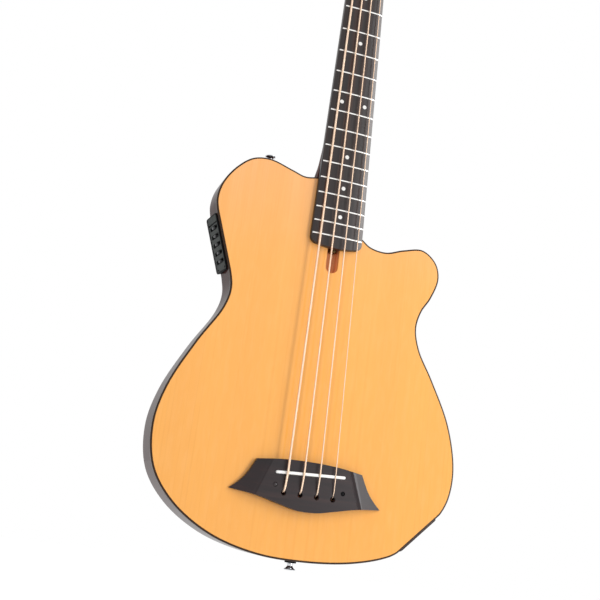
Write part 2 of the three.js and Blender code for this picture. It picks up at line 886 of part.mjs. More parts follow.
function headstockOverlay() {
  const start = nutThickness + overrun + fitGap;
  return plate(headOutline(), [-overlayThickness - glueLine, -glueLine])
    .intersect(box([-headWidth, headWidth], [-farAway, farAway], [start, farAway]))
    .subtract(postHoles(bushBarrelRadius + fitGap, [-farAway, farAway]));
}

function postBushing() {
  const bore = postShaftRadius + fitGap;
  const flangeFoot = bushTop + bushFlangeThickness;
  return solidOf(turned([
    [bore, bushTop],
    [bushFlangeRadius - fitGap, bushTop],
    [bushFlangeRadius, flangeFoot],
    [bushBarrelRadius, flangeFoot],
    [bushBarrelRadius, flangeFoot + bushBarrelLength],
    [bore, flangeFoot + bushBarrelLength],
    [bore, bushTop],
  ], roundSides));
}

// The plate on the headstock's back, with the two ears that carry the worm's shaft.
function tunerPlate() {
  const half = tunerPlateWidth / 2;
  const y = [headThickness + glueLine, plateBack];
  const earZ = [centreDistance - tunerEarWidth / 2, centreDistance + tunerEarWidth / 2];
  const earY = [y[0], gearY + tunerEarHeight / 2];
  return box([-half, half], y, [-tunerPlateBelowPost, tunerPlateAbovePost])
    .add(box([-half, -half + tunerEarThickness], earY, earZ))
    .add(box([half - tunerEarThickness, half], earY, earZ))
    .subtract(bar('y', postShaftRadius + fitGap, [0, farAway], [0, 0], roundSides))
    .subtract(bar('x', wormRootRadius + fitGap, [-farAway, farAway], [gearY, centreDistance], roundSides));
}

// A string post with its gear wheel. A gap of the wheel faces the worm's thread.
function stringPost() {
  const wheelBack = gearY + gearFace / 2;
  const drumTop = drumFoot - postDrumLength;
  const shaft = solidOf(turned([
    [0, wheelBack + postTail],
    [postNeckRadius, wheelBack + postTail],
    [postNeckRadius, wheelBack - overrun],
    [postShaftRadius, wheelBack - overrun],
    [postShaftRadius, drumFoot + postFlangeThickness],
    [postFlangeRadius, drumFoot + postFlangeThickness],
    [postFlangeRadius, drumFoot],
    [postDrumRadius, drumFoot],
    [postDrumRadius, drumTop],
    [postFlangeRadius, drumTop - postHeadBevel],
    [postFlangeRadius, drumTop - postHeadBevel - postFlangeThickness],
    [postShaftRadius, drumTop - 2 * postHeadBevel - postFlangeThickness],
    [0, drumTop - 2 * postHeadBevel - postFlangeThickness],
  ], postSides));
  return shaft.add(plate(gearOutline(), [gearY - gearFace / 2, wheelBack]));
}

function gearOutline() {
  const points = [];
  const corners = [
    [gearPitchRadius - gearDedendum, -gearRootThickness / 2],
    [gearPitchRadius + gearAddendum, -gearTipThickness / 2],
    [gearPitchRadius + gearAddendum, gearTipThickness / 2],
    [gearPitchRadius - gearDedendum, gearRootThickness / 2],
  ];
  for (let tooth = 0; tooth < gearTeeth; tooth += 1) {
    const middle = (2 * Math.PI * tooth) / gearTeeth;
    for (const [radius, aside] of corners) {
      const angle = middle + aside / radius;
      points.push(new THREE.Vector2(radius * Math.cos(angle), radius * Math.sin(angle)));
    }
  }
  return points;
}

// One right-hand thread about the x axis. Its gap faces the wheel at x = 0.
function wormThread() {
  const rings = [];
  const turns = wormThreadLength / wormPitch;
  const steps = Math.round(turns * wormSteps);
  const sunk = wormRootRadius - wormSink;
  for (let i = 0; i <= steps; i += 1) {
    const along = (i / steps - 1 / 2) * wormThreadLength;
    const angle = (2 * Math.PI * (along - wormPitch / 2)) / wormPitch - Math.PI / 2;
    const spoke = (radius, aside) => new THREE.Vector3(
      along + aside,
      gearY + radius * Math.cos(angle),
      centreDistance + radius * Math.sin(angle),
    );
    rings.push([
      spoke(sunk, -wormBaseThickness / 2),
      spoke(sunk, wormBaseThickness / 2),
      spoke(wormOuterRadius, wormTipThickness / 2),
      spoke(wormOuterRadius, -wormTipThickness / 2),
    ]);
  }
  return solidOf(loft(rings));
}

function tuningKey(post) {
  const edge = headWidth / 2 - Math.abs(post.x) + buttonGap;
  const tip = tunerPlateWidth / 2 + keyEndProud;
  const middle = edge + buttonLength / 2;
  const reach = post.side > 0 ? [-tip, middle] : [-middle, tip];
  const button = roundedRectangle(buttonLength, buttonHeight, buttonCornerRadius)
    .map((point) => new THREE.Vector2(point.x + post.side * middle, point.y + centreDistance));
  return bar('x', wormRootRadius, reach, [gearY, centreDistance], postSides)
    .add(wormThread())
    .add(plate(button, [gearY - buttonThickness / 2, gearY + buttonThickness / 2]));
}

// Strings

// The point where a line from a start just touches a circle, on the side nearer the neck's middle.
function touchPoint(start, post, radius) {
  const toCentre = new THREE.Vector2(post.x - start.x, post.z - start.y);
  const lean = Math.asin(radius / toCentre.length()) * post.side;
  const reach = Math.sqrt(toCentre.lengthSq() - radius ** 2);
  return toCentre.normalize().rotateAround(new THREE.Vector2(), lean).multiplyScalar(reach).add(start);
}

function crownDrop(x) {
  return boardCrownRadius - Math.sqrt(boardCrownRadius ** 2 - x ** 2);
}

function saddleLine(x) {
  return saddleZ + (saddleSlant * x) / saddleLength;
}

// A string's place across the spread of the strings, from -1/2 on the bass side to 1/2.
function stringShare(order) {
  return order / (stringCount - 1) - 1 / 2;
}

function stringHoles(y) {
  const holes = Array.from({ length: stringCount }, (_, order) => {
    const centre = [stringShare(order) * stringSpreadAtHoles, saddleZ - stringHoleSetback];
    return bar('y', stringHoleRadius, y, centre, postSides);
  });
  return joined(holes);
}

function makeString(post, order, diameter) {
  const radius = diameter / 2;
  const share = stringShare(order);
  const nutX = share * stringSpreadAtNut;
  const saddleX = share * stringSpreadAtSaddle;
  const holeX = share * stringSpreadAtHoles;
  const holeZ = saddleZ - stringHoleSetback;
  const ballTop = interior[0] + bridgePlateThickness + fitGap;
  const nutY = -(boardThickness + fretCrown + stringOverFretAtNut + radius) + crownDrop(nutX);
  const saddleY = -(bridgeThickness + saddleProud + stringSeat + radius) + crownDrop(saddleX);
  const mouthY = -(bridgeThickness + fitGap + radius);
  const atSaddle = new THREE.Vector3(saddleX, saddleY, saddleLine(saddleX));
  const atNut = new THREE.Vector3(nutX, nutY, nutThickness / 2);
  const mouth = new THREE.Vector3(holeX, mouthY, holeZ);
  const nutInHead = atNut.clone().applyMatrix4(headFrame.clone().invert());
  const coil = coilPoints(new THREE.Vector2(nutInHead.x, nutInHead.z), post, radius);
  const towardSaddle = mouth.clone().add(atSaddle.clone().sub(mouth).setLength(stringBendRun));
  const route = [
    new THREE.Vector3(holeX, ballTop + ballEndLength / 2, holeZ),
    new THREE.Vector3(holeX, mouthY + stringBendRun, holeZ),
    towardSaddle,
    atSaddle,
    atNut,
    ...coil,
  ];
  return { name: post.name, post, radius, route, atSaddle, atNut, coil, ballTop };
}

// The turns of a string about its post, from where a line from the start meets them to the drum's top.
function coilPoints(start, post, radius) {
  const wound = postDrumRadius + radius + windingGap;
  const foot = drumFoot - radius - fitGap;
  const pitch = 2 * radius + windingGap;
  const touch = touchPoint(start, post, wound);
  const firstAngle = Math.atan2(touch.y - post.z, touch.x - post.x);
  const points = [];
  for (let i = 0; i <= windingTurns * windingSteps; i += 1) {
    const turned = i / windingSteps;
    const angle = firstAngle - post.side * 2 * Math.PI * turned;
    points.push(new THREE.Vector3(
      post.x + wound * Math.cos(angle),
      foot - pitch * turned,
      post.z + wound * Math.sin(angle),
    ).applyMatrix4(headFrame));
  }
  return points;
}

const strings = [stringDiameterE, stringDiameterA, stringDiameterD, stringDiameterG]
  .map((diameter, order) => makeString(posts[order], order, diameter));

function stringSolid(string) {
  const foot = string.route[0];
  const span = [string.ballTop, string.ballTop + ballEndLength];
  const ball = bar('y', ballEndRadius, span, [foot.x, foot.z], postSides);
  return solidOf(tube(string.route, string.radius, stringSides)).add(ball);
}

// The least gap that a string's turns leave to each other, between points at least half a turn apart.
function leastGap(points, radius) {
  let least = Infinity;
  for (let i = 0; i < points.length; i += 1) {
    for (let k = i + windingSteps / 2; k < points.length; k += 1) {
      least = Math.min(least, points[i].distanceTo(points[k]) - 2 * radius);
    }
  }
  return least;
}

// Bridge, saddle and pickup

const bridgeFootZ = saddleZ - bridgeBelowSaddle;

function bridgePoint([xShare, zShare], side) {
  return new THREE.Vector2((side * xShare * bridgeWidth) / 2, bridgeFootZ + zShare * bridgeLength);
}

function saddleOutline(length, width) {
  const turn = Math.atan2(saddleSlant, saddleLength);
  return roundedRectangle(length, width, width / 2 - glueLine)
    .map((point) => point.rotateAround(new THREE.Vector2(), turn).add(new THREE.Vector2(0, saddleZ)));
}

function bridge() {
  const right = bridgeOutlineShares.map((share) => bridgePoint(share, 1));
  const left = bridgeOutlineShares.slice(1, -1).map((share) => bridgePoint(share, -1)).reverse();
  let solid = plate([...right, ...left], [-bridgeThickness, -glueLine]);
  for (const side of [-1, 1]) {
    const [top, foot, tip] = [wingRidgeTopShare, wingRidgeFootShare, wingTipShare]
      .map((share) => bridgePoint(share, side));
    solid = solid.subtract(aboveFace(
      new THREE.Vector3(top.x, -bridgeThickness, top.y),
      new THREE.Vector3(foot.x, -bridgeThickness, foot.y),
      new THREE.Vector3(tip.x, -bridgeTipThickness, tip.y),
    ));
  }
  const slot = saddleOutline(saddleLength + 2 * fitGap, saddleThickness + 2 * fitGap);
  return solid
    .subtract(plate(slot, [-farAway, saddleSlotDepth - bridgeThickness]))
    .subtract(stringHoles([-farAway, overrun]));
}

function pickupStrip() {
  const foot = saddleSlotDepth - bridgeThickness - glueLine;
  return plate(saddleOutline(saddleLength, saddleThickness), [foot - pickupThickness, foot]);
}

function saddle() {
  const foot = saddleSlotDepth - bridgeThickness - 2 * glueLine - pickupThickness;
  const top = bridgeThickness + saddleProud;
  return plate(saddleOutline(saddleLength, saddleThickness), [-top, foot])
    .intersect(underCrown(top, boardCrownRadius));
}

// Preamp, in its own frame on the bass side's wall

function sliderPlace(order) {
  return ((sliderCount - 1) / 2 - order) * sliderPitch;
}

function preampPanel() {
  const halfSlot = [sliderStem / 2 + fitGap, sliderTravel + sliderStem / 2 + fitGap];
  const slots = Array.from({ length: sliderCount }, (_, order) => {
    const x = sliderPlace(order);
    return box([x - halfSlot[0], x + halfSlot[0]], [-halfSlot[1], halfSlot[1]], [0, farAway]);
  });
  const panel = roundedRectangle(preampLength, preampHeight, preampCornerRadius);
  return slab(panel, [glueLine, glueLine + preampThickness]).subtract(joined(slots));
}

function preampHousing() {
  const [x, y] = [housingLength / 2, housingHeight / 2];
  const inner = [x - housingWall, y - housingWall];
  const floor = housingWall - housingDepth;
  const hole = [-housingDepth - overrun, floor + overrun];
  return box([-x, x], [-y, y], [-housingDepth, 0])
    .subtract(box([-inner[0], inner[0]], [-inner[1], inner[1]], [floor, overrun]))
    .subtract(bar('z', housingWireHoleRadius, hole, [x - 2 * housingWireHoleRadius, 0], postSides));
}

function battery() {
  const [x, y] = [batteryLength / 2, batteryThickness / 2];
  return box([-x, x], [-y, y], [-sliderRoom - batteryWidth, -sliderRoom]);
}

function slider() {
  const stem = sliderStem / 2;
  const top = glueLine + preampThickness + fitGap;
  return box([-stem, stem], [-stem, stem], [-sliderStemDepth, top + sliderCapHeight / 2])
    .add(box(
      [-sliderCapLength / 2, sliderCapLength / 2],
      [-sliderCapWidth / 2, sliderCapWidth / 2],
      [top, top + sliderCapHeight],
    ));
}

// Output jack, in its own frame on the flat at the treble lower bout

function jackPlate() {
  const outer = roundedRectangle(jackPlateLength, jackPlateHeight, jackPlateCornerRadius);
  return slab(outer, [glueLine, glueLine + jackPlateThickness])
    .subtract(bar('z', jackThreadRadius + fitGap, [0, farAway], [0, 0], roundSides));
}

function outputJack() {
  const face = glueLine + jackPlateThickness + glueLine;
  const bodyFoot = -glueLine - jackBodyLength;
  return placed(turned([
    [0, bodyFoot],
    [jackBodyRadius, bodyFoot],
    [jackBodyRadius, -glueLine],
    [jackThreadRadius, -glueLine],
    [jackThreadRadius, face],
    [jackNutRadius, face],
    [jackNutRadius, face + jackNutThickness],
    [jackThreadRadius, face + jackNutThickness],
    [jackThreadRadius, face + jackNutThickness + jackLip],
    [jackBoreRadius, face + jackNutThickness + jackLip],
    [jackBoreRadius, bodyFoot + jackBoreEnd],
    [0, bodyFoot + jackBoreEnd],
  ], roundSides).rotateX(Math.PI / 2));
}

// A strap button with its wood screw, about its own y axis. y = 0 is the body's wall.
function strapButton(screwLength) {
  const foot = strapWasherThickness;
  const waist = foot + strapButtonWaistHeight;
  return solidOf(turned([
    [0, -screwLength],
    [strapScrewRadius / 2, -screwLength],
    [strapScrewRadius, strapScrewRadius - screwLength],
    [strapScrewRadius, foot],
    [strapButtonBase, foot],
    [strapButtonBase, foot + strapButtonFootHeight],
    [strapButtonWaist, waist],
    [strapButtonWaist, waist + strapButtonWaistLength],
    [strapButtonRadius, strapButtonHeight - strapButtonRimThickness],
    [strapButtonRadius, strapButtonHeight],
    [0, strapButtonHeight],
  ], roundSides));
}

// Materials

function finish(color, roughness, metalness) {
  return () => new THREE.MeshStandardMaterial({ color, roughness, metalness });
}

const spruce = finish(0xf0a850, 0.18, 0);
const mahogany = finish(0x4a2218, 0.2, 0);
const paleWood = finish(0xc9a06a, 0.7, 0);
const rosewood = finish(0x3a2f2c, 0.45, 0);
const ebony = finish(0x262324, 0.4, 0);
const blackPlastic = finish(0x161618, 0.4, 0);
const darkPlastic = finish(0x2c2c30, 0.5, 0);
const bone = finish(0xf2efe6, 0.4, 0);
const chrome = finish(0xd8dadd, 0.12, 1);
const steel = finish(0xa8abb0, 0.35, 1);
const brass = finish(0xc9a24e, 0.3, 1);
const bronze = finish(0xc98a55, 0.35, 1);

// The scene graph

const guitar = new THREE.Group();

function addTo(group, name, solid, material) {
  const mesh = new THREE.Mesh(geometryOf(solid), material());
  mesh.name = name;
  group.add(mesh);
  return mesh;
}

function groupIn(parent, frame) {
  const group = new THREE.Group();
  group.applyMatrix4(frame);
  parent.add(group);
  return group;
}

function addBody() {
  const wall = bodyWall();
  const all = [-farAway, farAway];
  const bassHalf = box([-farAway, -glueLine / 2], all, all);
  const trebleHalf = box([glueLine / 2, farAway], all, all);
  addTo(guitar, 'soundboard', soundboard(), spruce);
  addTo(guitar, 'back_plate', backPlate(), mahogany);
  addTo(guitar, 'side_bass', wall.intersect(bassHalf), mahogany);
  addTo(guitar, 'side_treble', wall.intersect(trebleHalf), mahogany);
  addTo(guitar, 'top_binding', topBinding(), blackPlastic);
  addTo(guitar, 'top_lining', topLining(), paleWood);
  addTo(guitar, 'back_lining', backLining(), paleWood);
  addTo(guitar, 'neck_block', neckBlock(), mahogany);
  addTo(guitar, 'slot_tray', slotTray(), mahogany);
  addTo(guitar, 'tail_block', tailBlock(), mahogany);
  addTo(guitar, 'tone_bar_bass', toneBar(-1), paleWood);
  addTo(guitar, 'tone_bar_treble', toneBar(1), paleWood);
  addTo(guitar, 'upper_transverse_brace', upperTransverseBrace(), paleWood);
  addTo(guitar, 'back_brace_upper', backBrace(upperBackBraceShare), paleWood);
  addTo(guitar, 'back_brace_lower', backBrace(lowerBackBraceShare), paleWood);
  addTo(guitar, 'bridge_plate', bridgePlate(), paleWood);
}

function addNeck() {
  addTo(guitar, 'neck', neck(), mahogany);
  addTo(guitar, 'fingerboard', fingerboard(), rosewood);
  addTo(guitar, 'nut', nut(), bone);
  addTo(guitar, 'truss_rod', trussRod(), steel);
  addTo(guitar, 'truss_rod_nut', trussRodNut(), brass);
}

function addHeadstock() {
  const head = groupIn(guitar, headFrame);
  addTo(head, 'headstock_overlay', headstockOverlay(), rosewood);
  for (const post of posts) {
    const places = [
      addTo(head, `post_bushing_${post.name}`, postBushing(), chrome),
      addTo(head, `tuner_plate_${post.name}`, tunerPlate(), chrome),
      addTo(head, `string_post_${post.name}`, stringPost(), chrome),
      addTo(head, `tuning_key_${post.name}`, tuningKey(post), chrome),
    ];
    for (const mesh of places) mesh.position.set(post.x, 0, post.z);
  }
}

function addStringsAndBridge() {
  for (const string of strings) {
    addTo(guitar, `string_${string.name}`, stringSolid(string), bronze);
    const gap = leastGap(string.coil, string.radius);
    console.log(`turns of string ${string.name}: least gap ${gap.toFixed(2)} mm`);
  }
  addTo(guitar, 'bridge', bridge(), ebony);
  addTo(guitar, 'saddle', saddle(), bone);
  addTo(guitar, 'pickup_strip', pickupStrip(), steel);
}

function addElectrics() {
  const preamp = groupIn(guitar, preampFrame);
  addTo(preamp, 'preamp_panel', preampPanel(), blackPlastic);
  addTo(preamp, 'preamp_housing', preampHousing(), darkPlastic);
  addTo(preamp, 'battery', battery(), steel);
  for (let order = 0; order < sliderCount; order += 1) {
    addTo(preamp, `slider_${order + 1}`, slider(), darkPlastic).position.x = sliderPlace(order);
  }
  const flat = groupIn(guitar, jackFrame);
  addTo(flat, 'jack_plate', jackPlate(), blackPlastic);
  addTo(flat, 'output_jack', outputJack(), chrome);
}

function addStrapButtons() {
  const tail = addTo(guitar, 'strap_button_tail', strapButton(strapScrewLength), chrome);
  tail.position.set(0, bodyDepthAtTail / 2, tailZ);
  tail.rotation.x = -Math.PI / 2;
  const shoulder = addTo(guitar, 'strap_button_shoulder', strapButton(shoulderScrewLength), chrome);
  shoulder.position.set(shoulderX, bodyDepthAtNeck / 2, shoulderZ);
  shoulder.rotation.x = Math.PI / 2;
}

addBody();
addNeck();
addHeadstock();
addStringsAndBridge();
addElectrics();
addStrapButtons();

export default guitar;
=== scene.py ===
from math import asin, atan, atan2, cos, pi, radians, sin, sqrt, tan

import bmesh
import bpy
from mathutils import Matrix, Vector


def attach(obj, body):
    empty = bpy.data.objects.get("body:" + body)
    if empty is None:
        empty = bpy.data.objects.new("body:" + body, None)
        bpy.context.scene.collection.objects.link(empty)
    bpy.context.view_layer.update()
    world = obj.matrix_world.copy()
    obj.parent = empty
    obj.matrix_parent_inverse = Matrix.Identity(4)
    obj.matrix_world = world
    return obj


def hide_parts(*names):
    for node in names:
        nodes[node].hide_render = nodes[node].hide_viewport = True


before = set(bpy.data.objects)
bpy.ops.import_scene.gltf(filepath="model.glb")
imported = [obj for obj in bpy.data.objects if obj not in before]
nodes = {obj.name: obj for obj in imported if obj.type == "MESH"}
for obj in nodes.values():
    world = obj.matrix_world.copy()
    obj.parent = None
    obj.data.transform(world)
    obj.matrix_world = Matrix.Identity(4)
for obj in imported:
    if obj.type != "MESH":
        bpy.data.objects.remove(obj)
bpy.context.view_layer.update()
MM = 0.001

# Sizes in millimetres. +Z runs up the neck, +Y from the soundboard into the body, +X to the treble side.
SCALE_LENGTH = 864
SADDLE_Z = -867.75
SADDLE_SLANT = 4.1 / 81
FRETS = 20
FRET_WIDTH = 2.1
FRET_CROWN = 1.1
FRET_SHORT_BASS, FRET_SHORT_TREBLE = 0.8, 0.5
NUT_WIDTH, NUT_THICKNESS = 38, 5
CROWN_RADIUS = 406
BOARD_END_WIDTH, BOARD_THICKNESS = 63, 7
BOARD_END_BULGE, BOARD_END_ROUND = 2.6, 8.5
BOARD_SPARE_NUT, BOARD_SPARE_BASS, BOARD_SPARE_TREBLE = 0.3, 1.5, 0.4
EDGE_ROLL_WIDTH, EDGE_ROLL_SLOPE = 5.6, 0.21
NECK_SHY = 0.3
BODY_LENGTH, BODY_WIDTH = 448.3, 357
TAIL_DEPTH, NECK_DEPTH = 54, 35.5
TOP_THICKNESS, WALL = 3, 3
BINDING_WIDTH, BINDING_HEIGHT = 2, 5
GLUE = 0.1
NECK_BLOCK_LENGTH = 79
HEEL_LENGTH, HEEL_FLARE, HEEL_DRAW_IN = 60, 3.2, 4.8
HEAD_TILT = radians(12)
HEAD_HALF, HEAD_LENGTH, HEAD_THICKNESS = 42, 195, 15
POST_HOLE, PEG_HOLE, JACK_HOLE, STRING_HOLE = 8.2, 2.2, 9.7, 2.5
ROD_Y, ROD_CHANNEL_WIDTH, ROD_CHANNEL_HEIGHT = 8.5, 6.6, 6.4
SHOULDER_X = -0.25 * BODY_WIDTH
BRIDGE_HEIGHT = 9
BOLT_X, BOLT_Z = 39.4, -883
NUT_SPREAD, SADDLE_SPREAD, HOLE_SPREAD = 29.6, 55.5, 57


def fret_z(number):
    return -SCALE_LENGTH * (1 - 2 ** (-number / 12))


JOINT_Z = fret_z(16)
TAIL_Z = JOINT_Z - 0.979 * BODY_LENGTH
BOARD_WIDEST_Z = fret_z(FRETS) - 10
BOARD_CORNER_Z = fret_z(FRETS) - 12
BOARD_FLARE = (BOARD_END_WIDTH - NUT_WIDTH) / 2 / -BOARD_WIDEST_Z
SLOT_X, SLOT_RADIUS = -1.2, 7.5
SLOT_END_Z = BOARD_WIDEST_Z - 33
ROD_NUT_TOP_Z = BOARD_WIDEST_Z + 6.5
HOLE_Z = SADDLE_Z - 22.8


def board_width(z):
    return NUT_WIDTH + (BOARD_END_WIDTH - NUT_WIDTH) * (z / BOARD_WIDEST_Z)


def body_depth(z):
    return TAIL_DEPTH + (NECK_DEPTH - TAIL_DEPTH) * ((z - TAIL_Z) / (JOINT_Z - TAIL_Z))


def crown_drop(x):
    return CROWN_RADIUS - sqrt(CROWN_RADIUS**2 - x * x)


def edge_roll(x, z):
    """How far the board's rolled treble edge lies below its crown."""
    return EDGE_ROLL_SLOPE * max(0.0, x - board_width(z) / 2 - BOARD_SPARE_TREBLE + EDGE_ROLL_WIDTH)


def ease(share):
    return share * share * (3 - 2 * share)


# Mesh tools. Outlines are lists of 2-D points, and a form is made in (u, v, w) and then placed.

FRONT = Matrix(((1, 0, 0, 0), (0, 0, 1, 0), (0, 1, 0, 0), (0, 0, 0, 1)))
HEAD = Matrix.Rotation(-HEAD_TILT, 4, "X")


def at(x=0.0, y=0.0, z=0.0):
    return Matrix.Translation((x, y, z))


def spline(points, steps):
    """Points along a centripetal curve through 2-D points."""
    points = [Vector(p) for p in points]
    ends = [2 * points[0] - points[1], *points, 2 * points[-1] - points[-2]]
    out = []
    for a, b, c, d in zip(ends, ends[1:], ends[2:], ends[3:]):
        d0, d1, d2 = ((q - p).length ** 0.5 for p, q in ((a, b), (b, c), (c, d)))
        t1 = ((b - a) / d0 - (c - a) / (d0 + d1) + (c - b) / d1) * d1
        t2 = ((c - b) / d1 - (d - b) / (d1 + d2) + (d - c) / d2) * d1
        for i in range(steps):
            t = i / steps
            cubic = (3 * (c - b) - 2 * t1 - t2) * t**2 + (2 * (b - c) + t1 + t2) * t**3
            out.append(b + t1 * t + cubic)
    return [*out, points[-1]]


def inset(points, distance):
    """A closed outline moved in by a distance, with its corners kept sharp."""
    area = sum(a.x * b.y - b.x * a.y for a, b in zip(points, points[1:] + points[:1]))
    turn = 1 if area > 0 else -1

    def inward(a, b):
        along = (b - a).normalized()
        return Vector((-along.y, along.x)) * turn

    out = []
    for i, point in enumerate(points):
        before = inward(points[i - 1], point)
        after = inward(point, points[(i + 1) % len(points)])
        out.append(point + (before + after) * (distance / max(1 + before.dot(after), 0.4)))
    return out


def arc(x, y, radius, start, quarters, steps):
    """Points along a circle, from a start and over a length in quarter turns."""
    angles = [(start + quarters * i / steps) * pi / 2 for i in range(steps + 1)]
    return [Vector((x + radius * cos(a), y + radius * sin(a))) for a in angles]


def disc(radius, steps, x=0, y=0):
    return arc(x, y, radius, 0, 4, steps)[:-1]


def rounded(length, height, radius, steps=8):
    x, y = length / 2 - radius, height / 2 - radius
    corners = ((x, y), (-x, y), (-x, -y), (x, -y))
    return [p for i, corner in enumerate(corners) for p in arc(*corner, radius, i, 1, steps)]


def skin(rings, place=None, closed=False, grain=None):
    """A closed surface over equal rings. grain(row, column) gives a point's UV, in metres."""
    bm = bmesh.new()
    rows = [[bm.verts.new(p) for p in ring] for ring in rings]
    layer = bm.loops.layers.uv.new("grain")
    count, around = len(rows), len(rows[0])
    for i in range(count if closed else count - 1):
        for k in range(around):
            spots = [(i, k), (i, k + 1), (i + 1, k + 1), (i + 1, k)]
            face = bm.faces.new([rows[row % count][column % around] for row, column in spots])
            if grain:
                for loop, spot in zip(face.loops, spots):
                    loop[layer].uv = grain(*spot)
    if not closed:
        bm.faces.new(rows[0])
        bm.faces.new(rows[-1])
    if place is not None:
        bm.transform(place)
    bmesh.ops.recalc_face_normals(bm, faces=bm.faces)
    return bm


def form(outline, levels, place=None, closed=False, grain=None):
    """Rings of an outline at levels of (inset, height). A height may be a function of v."""
    points = [Vector(p) for p in outline]
    rings = []
    for distance, height in levels:
        ring = inset(points, distance) if distance else points
        rings.append([(p.x, p.y, height(p.y) if callable(height) else height) for p in ring])
    return skin(rings, place, closed, grain)


def round_levels(low, high, low_radius=0.0, high_radius=0.0, steps=4):
    """Levels of a plate between two heights, with its edges rounded."""
    angles = [i / steps * pi / 2 for i in range(steps + 1)]
    first, last = [(0, low)], [(0, high)]
    if low_radius:
        first = [(low_radius * (1 - sin(a)), low + low_radius * (1 - cos(a))) for a in angles]
    if high_radius:
        last = [(high_radius * (1 - cos(a)), high - high_radius * (1 - sin(a))) for a in angles]
    return first + last


def plate(outline, low, high, place=FRONT, low_radius=0.0, high_radius=0.0, steps=4):
    return form(outline, round_levels(low, high, low_radius, high_radius, steps), place)


def lathe(profile, place=None, steps=48, closed=False):
    """A form turned about w, from pairs of radius and height."""
    return skin([[(p.x, p.y, h) for p in disc(max(r, 0.01), steps)] for r, h in profile], place, closed)


def hole(radius, low, high, place):
    return lathe([(0, low), (radius, low), (radius, high), (0, high)], place, 32)


def tube(route, radius, sides=16):
    """A tube along 3-D points that keeps its twist low, with its length in metres as grain."""
    steps = [b - a for a, b in zip(route, route[1:])]
    tangents = [
        (a.normalized() + b.normalized()).normalized()
        for a, b in zip([steps[0], *steps], [*steps, steps[-1]])
    ]
    turns = [2 * pi * k / sides for k in range(sides)]
    side = tangents[0].orthogonal().normalized()
    rings, lengths = [], [0.0]
    for point, tangent, step in zip(route, tangents, [*steps, steps[-1]]):
        side = (side - tangent * side.dot(tangent)).normalized()
        other = tangent.cross(side)
        rings.append([point + radius * (cos(a) * side + sin(a) * other) for a in turns])
        lengths.append(lengths[-1] + step.length * MM)
    return skin(rings, grain=lambda row, column: (column / sides, lengths[row]))


def merged(*parts):
    """One mesh of several. The parts are used up."""
    whole = bmesh.new()
    for part in parts:
        mesh = bpy.data.meshes.new("part")
        part.to_mesh(mesh)
        part.free()
        whole.from_mesh(mesh)
        bpy.data.meshes.remove(mesh)
    return whole


def moved(bm, place):
    bm.transform(place)
    return bm


def placed(name, data):
    obj = bpy.data.objects.new(name, data)
    bpy.context.scene.collection.objects.link(obj)
    return obj


def combine(bm, *cutters, operation="DIFFERENCE"):
    """Cuts a form by others in turn, or joins them. All are used up."""
    for cutter in cutters:
        pair = []
        for name, source in (("body", bm), ("cutter", cutter)):
            mesh = bpy.data.meshes.new(name)
            bmesh.ops.recalc_face_normals(source, faces=source.faces)
            source.to_mesh(mesh)
            source.free()
            pair.append(placed(name, mesh))
        modifier = pair[0].modifiers.new("cut", "BOOLEAN")
        modifier.object, modifier.operation, modifier.solver = pair[1], operation, "EXACT"
        evaluated = pair[0].evaluated_get(bpy.context.evaluated_depsgraph_get())
        bm = bmesh.new()
        bm.from_mesh(evaluated.to_mesh())
        evaluated.to_mesh_clear()
        for obj in pair:
            bpy.data.meshes.remove(obj.data)
    return bm


def bevel(bm, width, above, where):
    """Rounds the chosen edges that turn by more than an angle in degrees."""
    bmesh.ops.remove_doubles(bm, verts=bm.verts, dist=1e-4)
    bmesh.ops.dissolve_degenerate(bm, edges=bm.edges, dist=1e-4)
    edges = [
        e for e in bm.edges
        if len(e.link_faces) == 2 and e.calc_face_angle(0) > radians(above) and where(e)
    ]
    bmesh.ops.bevel(bm, geom=edges, offset=width, segments=2, profile=0.5, affect="EDGES", clamp_overlap=True)
    return bm


def split(bm, point, normal, **keep):
    """Splits a form's faces along a plane."""
    geometry = [*bm.verts, *bm.edges, *bm.faces]
    bmesh.ops.bisect_plane(bm, geom=geometry, dist=1e-5, plane_co=point, plane_no=normal, **keep)


def keep_half(bm, sign):
    """The half of a form on one side of the centre line, closed again."""
    split(bm, (sign * GLUE / 2, 0, 0), (-sign, 0, 0), clear_outer=True)
    bmesh.ops.holes_fill(bm, edges=[e for e in bm.edges if e.is_boundary])
    return bm


def lowered(bm, above, drop):
    """Lowers each point that lies in front of a height by drop(point)."""
    for vert in bm.verts:
        if vert.co.y < above:
            vert.co.y += drop(vert.co)
    return bm


def follow_crown(bm, above):
    return lowered(bm, above, lambda p: crown_drop(p.x))


def crowned(bm, step, half, above):
    """Splits the faces along planes of constant x, so that the form can follow the board's crown."""
    for i in range(-int(half / step), int(half / step) + 1):
        split(bm, (i * step, 0, 0), (1, 0, 0))
    return follow_crown(bm, above)


def piece(name, bm, material, slot, replaces=(), body="guitar", sharp=30.0):
    """A named piece of the object that moves with a body."""
    bmesh.ops.remove_doubles(bm, verts=bm.verts, dist=1e-4)
    bmesh.ops.recalc_face_normals(bm, faces=bm.faces)
    bm.transform(Matrix.Scale(MM, 4))
    mesh = bpy.data.meshes.new(name)
    bm.to_mesh(mesh)
    bm.free()
    mesh.shade_smooth()
    mesh.set_sharp_from_angle(angle=radians(sharp))
    mesh.materials.append(material)
    obj = placed(name, mesh)
    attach(obj, body)
    if replaces:
        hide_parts(*replaces)
    return obj


# Materials


